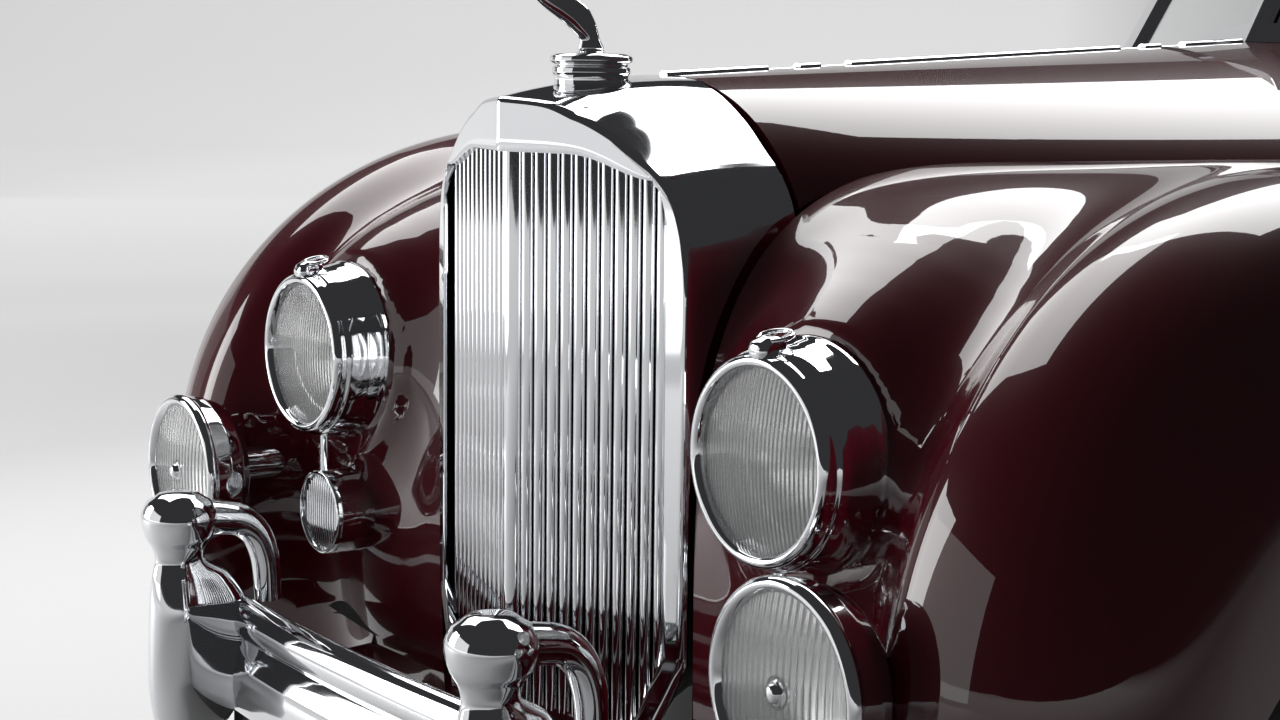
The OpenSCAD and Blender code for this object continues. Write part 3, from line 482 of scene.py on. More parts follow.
def resample(p, n):
    """n points at equal distances along the polyline p."""
    d = np.concatenate([[0], np.cumsum(np.linalg.norm(np.diff(p, axis=0), axis=1))])
    s = np.linspace(0, d[-1], n)
    return np.stack([np.interp(s, d, p[:, k]) for k in range(3)], axis=1)


def cut_by_arch(p, axle_y, radius=ARCH_R):
    """The polyline p up to where it first enters the wheel arch."""
    r = np.hypot(p[:, 1] - axle_y, p[:, 2] - AXLE_Z)
    inside = np.where(r < radius)[0]
    if len(inside) == 0 or inside[0] == 0:
        return p
    i = inside[0]
    t = (r[i - 1] - radius) / (r[i - 1] - r[i])
    return np.vstack([p[:i], p[i - 1] + (p[i] - p[i - 1]) * t])


UPPER, LOWER = 36, 44
BODY_HALF, BODY_FOOT = 905, 290
TURN_ANGLES = np.radians(np.linspace(0, 90, 60, endpoint=False))
FALL_STEPS = np.linspace(0, 1, 60)


def side_ring(y, foot, axle_y=None):
    """Points of the body side from its upper edge to its foot, cut by the wheel arch."""
    xb, zb, xc, zc, xd = (side(y, k) for k in (4, 5, 6, 7, 8))
    xc = min(xc, BODY_HALF)
    t = np.linspace(0, 1, UPPER, endpoint=False)
    ux, uz = upper_curve(edge_x(y), joint_z(y), side(y, 3), xb, zb, t)
    upper = line_at(ux, y, uz)
    a, lt = TURN_ANGLES, FALL_STEPS
    cx, cz = mix(xb, xc, roll(np.sin(a))), mix(zc, zb, roll(np.cos(a)))
    lx, lz = mix(xc, xd, lt * lt), mix(zc, foot, lt)
    low = line_at(np.concatenate([cx, lx]), y, np.concatenate([cz, lz]))
    if axle_y is not None:
        low = cut_by_arch(low, axle_y)
    return np.vstack([upper, resample(low, LOWER)])


# The wing's nose, as a fan of sections about the axle
CREST_X, CREST_FALL, FAN_Z = 720, 190, 620


def oval(phi, a, b, n):
    """Radius of an oval with half axes a and b and the power n."""
    return ((abs(math.cos(phi)) / a) ** n + (abs(math.sin(phi)) / b) ** n) ** (-1 / n)


def shoulder(phi):
    return oval(phi, 432, 475, 3.2)


def crest(phi):
    return oval(phi, 557, 488, 2.1)


def nose_r(phi, x):
    x = np.asarray(x, float)
    t = (x - 300) / 400
    dip = np.where((t > 0) & (t < 1), 70 * max(math.cos(phi), 0) ** 1.2
                   * np.sin(np.pi * np.clip(t, 0, 1) ** 1.6) ** 2, 0)
    return mix(shoulder(phi), crest(phi), ease((x - 300) / 420)) - dip


def nose_inner_x(phi):
    y = FRONT_AXLE - shoulder(phi) * math.cos(phi)
    return max(258, 0 if y < BONNET_FRONT else joint_x(y) + SHUT + 2)


def nose_ring(phi_deg):
    """Points of the wing's nose at one angle of the fan, from the bonnet outwards and in to the arch."""
    phi = math.radians(phi_deg)
    top = crest(phi)
    x = mix(nose_inner_x(phi), CREST_X, np.linspace(0, 1, UPPER, endpoint=False))
    r = nose_r(phi, x)
    a, lt = TURN_ANGLES, FALL_STEPS
    lx = np.concatenate([mix(CREST_X, BODY_HALF, roll(np.sin(a))), BODY_HALF - 21 * lt * lt])
    lr = np.concatenate([top - CREST_FALL * (1 - roll(np.cos(a))), mix(top - CREST_FALL, 150, lt)])

    def place(x, r):
        return np.stack([x, FRONT_AXLE - r * math.cos(phi), FAN_Z + r * math.sin(phi)], axis=1)

    low = cut_by_arch(place(lx, lr), FRONT_AXLE)
    return np.vstack([place(x, r), resample(low, LOWER)])


# Front wings with the headlamp pods blended in
LAMP_X, LAMP_Z, POD_FRONT = 464.0, 830.0, -2205.7
POD_END = 600
# Rows of radius and distance behind the pod's front
POD = np.array([[122, 0], [134, 12], [153, 40], [168, 75], [178, 110], [182, 150], [178, 230], [160, 340],
                [120, 470], [60, POD_END]], float)


def pod_field(p):
    """Signed distance, about, from the headlamp pod."""
    d = p[..., 1] - POD_FRONT
    r = np.hypot(p[..., 0] - LAMP_X, p[..., 2] - LAMP_Z)
    limit = np.interp(d, POD[:, 1], POD[:, 0])
    f = (r - limit) * 0.92
    f = np.maximum(f, -d)
    return np.where(d > POD_END, np.hypot(f, d - POD_END), f)


def grow_pod(points, normals, k=70.0, reach=330.0):
    """Moves skin points out along their normals onto the smooth union with the pod."""
    steps = np.linspace(reach, 0, 140)
    best = np.zeros(points.shape[:2])
    done = np.zeros(points.shape[:2], bool)
    last = None
    for d in steps:
        a = np.full(points.shape[:2], d)
        b = pod_field(points + normals * d)
        h = np.clip(k - np.abs(a - b), 0, None) / k
        f = np.minimum(a, b) - h * h * k / 4
        if last is not None:
            cross = (~done) & (f <= 0)
            t = np.where(cross, last[0] / np.maximum(last[0] - f, 1e-9), 0)
            best = np.where(cross, last[1] + (d - last[1]) * np.clip(t, 0, 1), best)
            done |= cross
        last = (f, d)
    return points + normals * best[..., None]


def grid_normals(p):
    du = np.gradient(p, axis=0)
    dv = np.gradient(p, axis=1)
    n = np.cross(du, dv)
    return n / np.maximum(np.linalg.norm(n, axis=-1), 1e-9)[..., None]


def wing_skin():
    rings = [nose_ring(a) for a in np.linspace(-28, 90, 96)]
    arch = [FRONT_AXLE + ARCH_R * math.sin(a) for a in np.radians(np.linspace(0, 90, 34))[1:]]
    rings += [side_ring(y, BODY_FOOT, FRONT_AXLE) for y in arch + list(np.linspace(-1316, SCUTTLE_BACK, 60))]
    return np.array(rings)


def outward(skin):
    """Normals of the wing's skin, away from the car."""
    n = grid_normals(skin)
    return -n if n[60, 20, 2] < 0 else n


def wing(sign):
    skin = wing_skin()
    skin = grow_pod(skin, outward(skin))
    b = Build().grid(skin)
    b.hem(skin[:, 0], [0, 0, -6], [0, 0, -40])
    b.hem(skin[:, -1], [-4, 0, 0], [-16, 0, 0], flip=True)
    b.hem(skin[0], [0, 8, 0], [0, 14, 4], flip=True)
    b.hem(skin[-1], [-4, 0, 0], [-40, 0, 0])
    return b.mirrored(sign).piece(f"wing_skin_{HAND[sign]}", "car", "paint", smooth=50)


for s in (1, -1):
    wing(s)


# Bonnet halves and scuttle
HINGE_GAP, BONNET_THICK = 14, 12


def bonnet_shell(sign):
    rings = []
    for y in np.linspace(BONNET_FRONT, BONNET_BACK, 60):
        t = np.radians(np.linspace(0, 90, 40))
        x = mix(HINGE_GAP, joint_x(y), np.sin(t))
        x_under = np.maximum(HINGE_GAP, x * (1 - BONNET_THICK / bonnet(y, 1)))
        top = line_at(x, y, bonnet_z(x, y))
        under = line_at(x_under, y, bonnet_z(x, y) - BONNET_THICK)
        rings.append(np.vstack([top, under[::-1]]))
    b = Build().grid(rings, wrap=True)
    b.cap(rings[0], flip=True).cap(rings[-1])
    node = f"bonnet_{HAND[sign]}"
    return b.mirrored(sign).piece(f"bonnet_skin_{HAND[sign]}", node, "paint", replaces=[node], smooth=30)


for s in (1, -1):
    bonnet_shell(s)


def under_structure(node, mat, depth):
    """Keeps a CAD node as the inner structure, drawn in so that it stays behind the outer skin."""
    obj = frame["nodes"][node]
    obj.data.materials.clear()
    obj.data.materials.append(MAT[mat])
    weld = obj.modifiers.new("weld", "WELD")
    weld.merge_threshold = 0.0002
    pull = obj.modifiers.new("pull", "DISPLACE")
    pull.strength = -depth
    pull.mid_level = 0.0


for s in ("left", "right"):
    under_structure(f"front_wing_{s}", "chassis", 0.014)
under_structure("rear_body", "chassis", 0.012)


def scuttle_skin():
    rings = []
    for y in np.linspace(SCUTTLE_FRONT, SCUTTLE_BACK, 40):
        t = np.radians(np.linspace(-90, 90, 81))
        x = joint_x(y) * np.sin(t)
        top = line_at(x, y, bonnet_z(x, y) + 0.5)
        rings.append(np.vstack([top[0] + [1, 0, -14], top, top[-1] + [-1, 0, -14]]))
    b = Build().grid(rings, flip=True)
    b.hem(rings[0], [0, 2, -1.5], [0, 2, -15])
    b.hem(rings[-1], [0, -2, -1.5], [0, -2, -15], flip=True)
    return b.piece("scuttle_skin", "car", "paint", smooth=35)


scuttle_skin()


# The door's rear edge runs forwards at the top by this much for each millimetre inwards from the widest line
DOOR_SLANT, WIDEST = 0.25, 902


def door_skin(sign):
    rings = []
    for y in np.concatenate([np.linspace(-552, -540, 4), np.linspace(-520, 590, 90), [600]]):
        outer = side_ring(y, 330)
        x0, z0, x1 = outer[0, 0], outer[0, 2], outer[-1, 0]
        top = [[x0 + dx, y, z0 + dz] for dx, dz in ((-70, -5), (-67, -1), (-62, 0.5), (-5, 0.5))]
        foot = [[x1 - 4, y, 329], [x1 - 66, y, 329], [x1 - 70, y, 334]]
        ring = np.vstack([outer[1:], foot, top])
        ring[:, 1] += DOOR_SLANT * (ring[:, 0] - WIDEST) * ease((y - 400) / 200)
        rings.append(ring)
    b = Build().grid(rings, wrap=True)
    b.cap(rings[0], flip=True).cap(rings[-1])
    node = f"door_{HAND[sign]}"
    return b.mirrored(sign).piece(f"door_skin_{HAND[sign]}", node, "paint", replaces=[node], smooth=35)


for s in (1, -1):
    door_skin(s)

# The rear body along the car: its front edge, the back of the hood's well, the rim by the lid, the lid and the
# panel behind it
BODY_FRONT, WELL_BACK, RIM_BACK, LID_FRONT, LID_REAR = 606, 1450, 1464, 1470.0, 2240.0
PANEL_FRONT, TAIL, LID_INSET = 2246, 2360, 64


def deck_z(x, y):
    """Height of the crowned deck."""
    return side(y, 2) + 45 * (1 - (np.asarray(x) / edge_x(y)) ** 2)


def lid_half(y):
    return edge_x(y) - 70


def cockpit_half(y):
    """Half width of the cockpit opening in the deck."""
    return mix(636, 520, ease((y - 700) / 330))


def rear_skin(sign):
    quarter = np.radians(np.linspace(0, 90, 30))
    ys = [BODY_FRONT, WELL_BACK, RIM_BACK, PANEL_FRONT]
    ys += list(np.linspace(615, 850, 20)) + list(np.linspace(1735, TAIL, 74))
    ys += [REAR_AXLE - ARCH_R * math.cos(a) for a in quarter]
    ys += [REAR_AXLE + ARCH_R * math.sin(a) for a in quarter[1:]]
    rings = []
    for y in sorted(set(round(y, 2) for y in ys)):
        x_in = edge_x(y) - LID_INSET
        if y < WELL_BACK:
            x_in = mix(cockpit_half(y), x_in, ease((y - WELL_BACK + 120) / 120))
        x = mix(x_in, edge_x(y), np.linspace(0, 1, 14, endpoint=False))
        foot = BODY_FOOT + 70 * ease((y - REAR_AXLE - 400) / 700)
        ring = np.vstack([line_at(x, y, deck_z(x, y)), side_ring(y, foot, REAR_AXLE)])
        ring[:, 1] += DOOR_SLANT * (ring[:, 0] - WIDEST) * (1 - ease((y - BODY_FRONT) / 150))
        rings.append(ring)
    rings = np.array(rings)
    b = Build().grid(rings)
    b.hem(rings[:, 0], [-3, 0, -3], [-3, 0, -40])
    b.hem(rings[:, -1], [-4, 0, 0], [-16, 0, 0], flip=True)
    b.hem(rings[0], [-1, 1, 0], [-20, 12, -4])
    for y0, y1, n in ((WELL_BACK, RIM_BACK, 3), (PANEL_FRONT, TAIL, 14)):
        patch = []
        for y in np.linspace(y0, y1, n):
            x = np.linspace(0, edge_x(y) - LID_INSET, 30)
            patch.append(line_at(x, y, deck_z(x, y)))
        b.grid(patch)
        if y0 == PANEL_FRONT:
            b.hem(patch[0], [0, 1, -1], [0, 1, -20])
        else:
            b.hem(patch[-1], [0, -1, -1], [0, -1, -20], flip=True)
            b.hem(patch[0], [0, 1, -1], [0, 1, -60])
    whole = np.vstack([patch[-1][:-1], rings[-1]])
    centre = np.array([0, TAIL, 545.0])
    b.grid([mix(whole, centre, k) + np.array([0, 6 * math.sin(math.pi / 2 * k), 0])
            for k in (0, 0.04, 0.15, 0.4, 0.7, 1)])
    return b.mirrored(sign).piece(f"rear_skin_{HAND[sign]}", "car", "paint", smooth=45)


for s in (1, -1):
    rear_skin(s)


def lid_skin():
    tops, bottoms = [], []
    for y in np.linspace(LID_FRONT, LID_REAR, 60):
        w = lid_half(y)
        x = w * np.sin(np.radians(np.linspace(-90, 90, 61)))
        tops.append(line_at(x, y, deck_z(x, y)))
        bottoms.append(tops[-1] - [0, 0, 22])
    rings = [np.vstack([t, u[::-1]]) for t, u in zip(tops, bottoms)]
    b = Build().grid(rings, wrap=True, flip=True)
    b.cap(rings[0]).cap(rings[-1], flip=True)
    return b.piece("lid_skin", "boot_lid", "paint", replaces=["boot_lid"], smooth=30)


lid_skin()


# Radiator shell, shutters, filler cap and mascot
SHELL_RIDGE, SHELL_BACK, VEE = -2273.0, -2051.0, 72.0 / 250
# Half of the shell's crown, and the turn from the crown into the flank, as x and height
CROWN = np.array([[0, 1186], [60, 1181], [100, 1168], [150, 1139], [200, 1097], [216, 1081.5],
                  [250, 1035]], float)
ROLL = np.array([[200, 1097], [209, 1088.5], [218, 1079], [227, 1067.5], [235, 1053.5], [241.5, 1036],
                 [246, 1014], [248.8, 988], [250, 955]])
# Corners of the outer edge below that, and of the slat opening
OUT_FLANK, OUT_FOOT, OUT_END = (250, 955), (250, 570), (190, 452)
IN_TURN, IN_FLANK, IN_FOOT, IN_END = (206, 1078), (224, 1040), (224, 577), (182, 490)
OPENING_TOP, OPENING_FLAT = 1102.0, 90
TOP_N, TURN_N, SIDE_N, FOOT_N = 44, 24, 40, 8
EDGE_R = 9.0
CROWN_SLOPES = slopes(CROWN[:-1, 0], CROWN[:-1, 1])


def crown_z(x):
    """Height of the shell's crown at its back edge."""
    return hermite(CROWN[:-1, 0], CROWN[:-1, 1], CROWN_SLOPES, abs(x))


def vee_y(x):
    return SHELL_RIDGE + abs(x) * VEE


def shell_lines():
    """Matching points of the shell's outer edge and of its slat opening, from the ridge to the foot."""
    outer, inner = [], []
    for k in range(TOP_N):
        x = ROLL[0, 0] * (k / TOP_N)
        outer.append((x, crown_z(x)))
        x = IN_TURN[0] * k / TOP_N
        droop = ease((x - OPENING_FLAT) / (IN_TURN[0] - OPENING_FLAT)) ** 1.2
        inner.append((x, mix(OPENING_TOP, IN_TURN[1], droop)))
    for k in range(TURN_N):
        t, last = k / TURN_N, len(ROLL) - 1
        outer.append([float(np.interp(last * k / TURN_N, range(last + 1), ROLL[:, c])) for c in (0, 1)])
        inner.append((mix(IN_TURN[0], IN_FLANK[0], t), mix(IN_TURN[1], IN_FLANK[1], t ** 1.4)))
    for line, top, foot, end in ((outer, OUT_FLANK, OUT_FOOT, OUT_END), (inner, IN_FLANK, IN_FOOT, IN_END)):
        line += [(top[0], mix(top[1], foot[1], k / SIDE_N)) for k in range(SIDE_N)]
        for k in range(FOOT_N + 1):
            line.append((mix(foot[0], end[0], k / FOOT_N), mix(foot[1], end[1], k / FOOT_N)))
    return np.array(outer), np.array(inner)


def front_drop(x):
    """How far the crown's front edge lies below its back edge."""
    return float(np.interp(abs(x), [0, 100, 150, 200, 235, 250], [24, 23, 14, 8, 3, 0]))


def shell_skin():
    columns = []
    for (xo, zo), (xi, zi) in zip(*shell_lines()):
        col = [(xi, vee_y(xi) + depth, zi) for depth in (44, 6, 1.5)]
        drop = front_drop(xo)
        edge, start = np.array([xo, zo - drop]), np.array([xi, zi])
        run = edge - start
        length = np.linalg.norm(run)
        for t in (3 / length, 0.25, 0.5, 0.75, 1 - EDGE_R / length):
            q = start + run * t
            col.append((q[0], vee_y(q[0]), q[1]))
        for k in range(1, 6):
            a = math.pi / 2 * k / 5
            e = q + (edge - q) * math.sin(a)
            col.append((e[0], vee_y(e[0]) + EDGE_R * (1 - math.cos(a)), e[1]))
        for t in np.arange(1, 13) / 12:
            col.append((xo, mix(vee_y(xo) + EDGE_R, SHELL_BACK, t), zo - drop * (1 - t) ** 2.0))
        col.append((xo - 14 * (xo > 230), SHELL_BACK, zo - 14 * (xo <= 230)))
        columns.append(col)
    half = np.array(columns)
    b = Build().grid(half, flip=True)
    b.grid([half[-1], half[-1] * [0, 1, 1]], flip=True)
    both = Build().joined(b).joined(b.mirrored(-1))
    return both.piece("radiator_shell_skin", "car", "chrome", replaces=["radiator_shell"], smooth=40)


shell_skin()


CAP_Y, CAP_Z, MASCOT_Z = -2150, 1186.4, 1214.6


def filler_cap():
    profile = rounded([(0.001, 28), (13, 28), (14.5, 24), (40, 22), (46, 19), (46.5, 14), (44, 12), (41, 11),
                       (41, 8), (43.5, 7), (44, 1), (42, -1), (41, -6), (41, -12)], 1.6)
    b = revolve([(r, d + CAP_Z) for r, d in fine(profile, 3)], (0, CAP_Y, 0), (0, 0, 1), 128)
    b.piece("filler_cap_skin", "car", "chrome", replaces=["filler_cap"], smooth=40)


def mascot():
    """Plain swept blade on a round stem."""
    # Height, sweep, half length and half width
    rows = np.array([[0, 0, 16, 9], [10, -2, 12, 8], [26, -14, 20, 7], [44, -34, 30, 6], [62, -60, 26, 4],
                     [72, -80, 8, 2]], float)
    t = np.linspace(0, 5, 46)
    smooth_rows = np.stack([np.interp(t, range(6), rows[:, c]) for c in range(4)], axis=1)
    for _ in range(5):
        smooth_rows[1:-1] = (smooth_rows[:-2] + 2 * smooth_rows[1:-1] + smooth_rows[2:]) / 4
    a = np.linspace(0, 2 * np.pi, 40, endpoint=False)
    rings = [np.stack([w * np.cos(a), CAP_Y + y + depth * np.sin(a), np.full(len(a), MASCOT_Z + z)], axis=1)
             for z, y, depth, w in smooth_rows]
    b = Build().grid(rings, wrap=True, flip=False).cap(rings[0], flip=True).cap(rings[-1])
    b.piece("mascot_skin", "car", "chrome", replaces=["mascot"], smooth=50)


filler_cap()
mascot()


def opening_span(x):
    """Lowest and highest height of the slat opening at x."""
    inner = shell_lines()[1]
    upper, lower = inner[:TOP_N + TURN_N], inner[:-FOOT_N - 2:-1]
    top = float(np.interp(x, upper[:, 0], upper[:, 1]))
    return float(np.interp(x, lower[:, 0], lower[:, 1])), top


# Half of a slat's rounded front, as shares of its half width and depths
SLAT = [(0.35, 0.5), (0.7, 2), (0.92, 4.5), (1, 8), (1, 26)]
SLAT_PITCH, SLAT_WIDTH, MIDDLE_WIDTH, LAST_WIDTH = 18, 12.0, 28.0, 10.0


def slats():
    b = Build()
    bars = [(s * (i * SLAT_PITCH + 8), SLAT_WIDTH) for i in range(1, 12) for s in (-1, 1)]
    for x, w in [(0.0, MIDDLE_WIDTH)] + bars:
        if abs(x) + w / 2 > IN_FLANK[0] - 1:
            w = LAST_WIDTH
        z0, z1 = opening_span(abs(x))
        profile = [(-w / 2 * k, d) for k, d in SLAT[::-1]] + [(0, 0)] + [(w / 2 * k, d) for k, d in SLAT]
        b.grid([[(x + px, vee_y(x + px) + 10 + py, z) for px, py in profile]
                for z in np.linspace(z0 - 3, z1 + 3, 12)], wrap=True, flip=True)
    return b.piece("shutter_slats", "car", "chrome", replaces=["radiator_shutters"], smooth=50)


slats()


# Lamps
def turned(profile, front, centre, sides=96):
    """Profile of (radius, depth behind front) turned about a lamp's axis."""
    return revolve([(r, d + front) for r, d in profile], centre, (0, 1, 0), sides)


def lamp_glass(name, centre, front, radius, bulge, mat):
    outside = [(r, front - bulge * (1 - (r / radius) ** 2)) for r in np.linspace(0, radius, 30)[1:]]
    inside = [(r, front + 3 - bulge * (1 - (r / radius) ** 2)) for r in np.linspace(radius, 0.001, 30)]
    b = turned([(0.001, front - bulge)] + outside + [(radius, front + 3)] + inside, 0, centre)
    return b.piece(name, "car", mat, slot="glass", smooth=60)


def wave(nt, direction, profile, period):
    """Straight bands, period metres apart."""
    node = texture(nt, "ShaderNodeTexWave", 1.0 / period / 3.18)
    node.wave_type, node.bands_direction, node.wave_profile = "BANDS", direction, profile
    return node


def lens_material(name, period, bands):
    """Clear pressed glass with vertical flutes and, where asked, cross bands."""
    mat, nt, bsdf = material(name)
    height = wave(nt, "X", "SIN", period).outputs["Fac"]
    if bands:
        cross = wave(nt, "Z", "SAW", bands).outputs["Fac"]
        height = math_node(nt, "ShaderNodeMath", "MULTIPLY_ADD", cross, 0.8, height).outputs["Value"]
    bump(nt, bsdf, height, 0.6, 0.0012)
    wander(nt, bsdf.inputs["Roughness"], 40.0, 2.0, grey(0.02), grey(0.05))
    set_inputs(bsdf, Base_Color=(0.98, 0.99, 0.99, 1), Transmission_Weight=0.82, IOR=1.5)
    return mat


MAT["headlamp_lens"] = lens_material("headlamp_lens", 0.0055, 0.016)
MAT["fog_lens"] = lens_material("fog_lens", 0.0085, 0)
HEAD_FRONT, FOG_FRONT, FOG_X, FOG_Z = -2280.0, -2378.0, 624.0, 663.0
HORN_FRONT, HORN_Z, HORN_R = -2252, 622.0, 47


def headlamp(sign):
    hand = HAND[sign]
    centre = (sign * LAMP_X, 0, LAMP_Z)
    rim = rounded([(86, 20), (87, 8), (90, 0), (95, -2), (100, 1), (102.5, 8), (103, 14), (106, 17),
                   (108, 26), (110, 42), (113, 58), (115, 64), (115.5, 70), (114, 74), (60, 74)], 2.5)
    b = turned(fine(rim, 6), HEAD_FRONT, centre)
    b.piece(f"headlamp_rim_{hand}", "car", "chrome", replaces=[f"headlamp_{hand}"], smooth=50)
    bowl = [(r, HEAD_FRONT + 14 + 52 * (1 - (r / 86) ** 2)) for r in np.linspace(86, 12, 26)]
    bowl += [(12, HEAD_FRONT + 40), (9, HEAD_FRONT + 36), (0.001, HEAD_FRONT + 35)]
    turned(bowl, 0, centre).piece(f"headlamp_bowl_{hand}", "car", "bowl", slot="chrome", smooth=50)
    lamp_glass(f"headlamp_glass_{hand}", centre, HEAD_FRONT + 9, 87, 11, "headlamp_lens")
    bulb = rounded([(0.001, 26), (9, 27), (13, 31), (14, 38), (14, 44)], 3)
    b = turned(bulb, HEAD_FRONT, centre, 48)
    b.piece(f"headlamp_cup_{hand}", "car", "bowl", slot="chrome", smooth=50)
    lamp_clip(sign)


def lamp_clip(sign):
    """Rim clip above the lamp, a rounded block under a wire loop, and the strip below to the horn."""
    x0 = sign * LAMP_X
    b = Build()
    rings = []
    for y, w, h in ((-8, 0.2, 1), (-8, 8, 4), (-5, 11, 9), (2, 12, 13), (14, 12, 14), (22, 11, 12),
                    (26, 8, 7), (26, 0.2, 4)):
        ring = []
        for k in np.linspace(0, 2 * np.pi, 24, endpoint=False):
            across, up = (math.copysign(abs(v) ** 0.6, v) for v in (math.cos(k), math.sin(k)))
            ring.append((x0 + w * across, HEAD_FRONT + 6 + y, LAMP_Z + 104 + h * up))
        rings.append(ring)
    b.grid(rings, wrap=True)
    loop = [(x0 + 19 * math.cos(k), HEAD_FRONT + 24 + 14 * math.sin(k), LAMP_Z + 117 + 4 * math.sin(k))
            for k in np.linspace(0, 2 * np.pi, 33)[:-1]]
    b.joined(tube(loop, 2.3, 10, closed=True))
    strip = []
    for z in np.linspace(LAMP_Z - 108, HORN_Z + 50, 8):
        strip.append([(x0 + dx, HEAD_FRONT + 30 - 6 * (1 - (dx / 9) ** 2) + 4, z)
                      for dx in np.linspace(-9, 9, 9)])
    b.grid(strip, flip=sign > 0)
    b.piece(f"headlamp_clip_{HAND[sign]}", "car", "chrome", smooth=50)


def fog_lamp(sign):
    hand = HAND[sign]
    centre = (sign * FOG_X, 0, FOG_Z)
    shell = rounded([(84, 16), (86, 6), (90, 0), (95, -1), (100, 3), (101, 9), (98.5, 13), (98, 18), (96, 34),
                     (88, 54), (72, 70), (48, 80), (22, 84), (0.001, 85)], 4)
    b = turned(fine(shell, 5), FOG_FRONT, centre)
    b.joined(turned([(22, 70), (22, 150)], FOG_FRONT, centre, 32))
    b.piece(f"fog_shell_{hand}", "car", "chrome", replaces=[f"fog_lamp_{hand}"], smooth=50)
    bowl = [(r, FOG_FRONT + 12 + 48 * (1 - (r / 85) ** 2)) for r in np.linspace(85, 0.001, 26)]
    turned(bowl, 0, centre).piece(f"fog_bowl_{hand}", "car", "bowl", slot="chrome", smooth=50)
    lamp_glass(f"fog_glass_{hand}", centre, FOG_FRONT + 7, 86, 9, "fog_lens")
    boss = rounded([(0.001, -10), (6, -9), (9, -5), (10, -2), (14, -1), (16, 2), (16, 6)], 2)
    turned(boss, FOG_FRONT, centre, 48).piece(f"fog_boss_{hand}", "car", "chrome", smooth=50)


def horn(sign):
    centre = (sign * LAMP_X, 0, HORN_Z)
    ring = rounded([(46, 12), (47, 0), (50, -4), (54, -2), (55, 4), (55, 75)], 1.6)
    b = turned(fine(ring, 6), HORN_FRONT, centre)
    b.joined(turned([(0.001, 12), (HORN_R, 12)], HORN_FRONT, centre, 48))
    for x in np.arange(-42, 43, 6.0):
        h = math.sqrt(HORN_R ** 2 - x * x)
        z = np.linspace(-h, h, 14)
        y = -2250 - 5 * (1 - (x / HORN_R) ** 2) * (1 - (z / (h + 1)) ** 2) * 0.6
        bar = np.stack([np.full_like(z, sign * LAMP_X + x), y + 2.5, z + HORN_Z], axis=1)
        b.joined(tube(bar, 2.1, 8))
    return b


for s in (1, -1):
    headlamp(s)
    fog_lamp(s)
horn(1).joined(horn(-1)).piece("horn_grille_ribs", "car", "chrome", replaces=["horn_grilles"], smooth=50)


# Bumpers and overriders
# Bumper bar's section, as depth and distance down from its upper edge
BAR = [(0, 0), (-8, 1.5), (-16, 8), (-22, 18), (-24, 28), (-22, 39), (-15, 47), (-8, 50.5), (-11, 54),
       (-18, 64), (-24, 78), (-27, 94), (-27, 108), (-23, 128), (-14, 144), (-6, 150), (-1, 147), (-4, 130),
       (-8, 104), (-6, 60), (3, 46), (6, 20)]


BUMPER_HALF = 880


def bow(x):
    return 150 * (np.abs(x) / BUMPER_HALF) ** 2.6


def bumper_skin(name, node, sign):
    prof = np.array(rounded(BAR, 4, 3, closed=True))
    tips = np.array([0.975, 0.986, 0.994, 0.9985, 1])
    rings = []
    for k in np.concatenate([-tips[::-1], np.linspace(-0.96, 0.96, 90), tips]):
        x = k * BUMPER_HALF
        e = max(0, (abs(k) - 0.93) / 0.07)
        shrink = math.sqrt(max(0.0, 1 - e ** 2.4)) * 0.45 + 0.55
        deep = math.sqrt(max(0.0, 1 - e ** 6)) * 0.85 + 0.15
        y = sign * (NOSE + 114 + bow(x) + prof[:, 0] * deep - 10 * (1 - deep))
        rings.append(np.stack([np.full(len(prof), x), y, 483 + (75 - prof[:, 1]) * shrink], axis=1))
    b = Build().grid(rings, wrap=True, flip=sign < 0)
    b.cap(rings[0], flip=sign > 0).cap(rings[-1], flip=sign < 0)
    for x in (-380, 380):
        iron = [[(x + dx, sign * y, z) for dx, z in ((-18, 345), (18, 345), (18, 445), (-18, 445))]
                for y in (-2407, -2361)]
        b.grid(iron, wrap=True, flip=sign > 0)
    return b.piece(name, "car", "chrome", replaces=[node], smooth=42)


# Overrider: rows of height, half width, depth in front and behind
OVER = np.array([[392, 16, 20, 20], [410, 28, 32, 60], [470, 33, 40, 86], [540, 33, 38, 86],
                 [590, 27, 34, 60], [612, 23, 30, 30], [624, 26, 32, 32], [640, 40, 40, 40],
                 [662, 47, 44, 44], [680, 38, 38, 38], [692, 14, 16, 16]], float)
# Its arm: rows of distance, height and radius
ARM = np.array([[10, 660, 22], [72, 652, 20], [102, 626, 18], [112, 590, 17], [114, 548, 16]], float)
OVER_Y, OVER_X, OVER_ROUND = -2496, 351, 686


def table_curve(table, t, n):
    """Column n of a table at t in its first column."""
    return hermite(table[:, 0], table[:, n], slopes(table[:, 0], table[:, n]), t)


def overrider_skin(x0, sign):
    rings = []
    a = np.linspace(0, 2 * np.pi, 48, endpoint=False)
    for z in np.concatenate([np.linspace(392, 690, 70), [692, 693]]):
        w, f, r = (table_curve(OVER, min(z, 691.9), k) for k in (1, 2, 3))
        if z > OVER_ROUND:
            k = math.sqrt(max(0, 1 - ((z - OVER_ROUND) / 7.2) ** 2))
            w, f, r = (table_curve(OVER, OVER_ROUND, c) * k for c in (1, 2, 3))
        y = sign * (OVER_Y + np.where(np.sin(a) < 0, f, r) * np.sin(a))
        rings.append(np.stack([x0 + w * np.cos(a), y, np.full_like(a, z)], axis=1))
    b = Build().grid(rings, wrap=True, flip=sign < 0)
    b.cap(rings[0], flip=sign > 0).cap(rings[-1], flip=sign < 0)
    key = np.linspace(0, len(ARM) - 1, 22)
    table = np.column_stack([np.arange(len(ARM)), ARM])
    path = [(x0, sign * (OVER_Y + table_curve(table, k, 1)), table_curve(table, k, 2)) for k in key]
    b.joined(tube(path, [table_curve(table, k, 3) for k in key], 24))
    return b


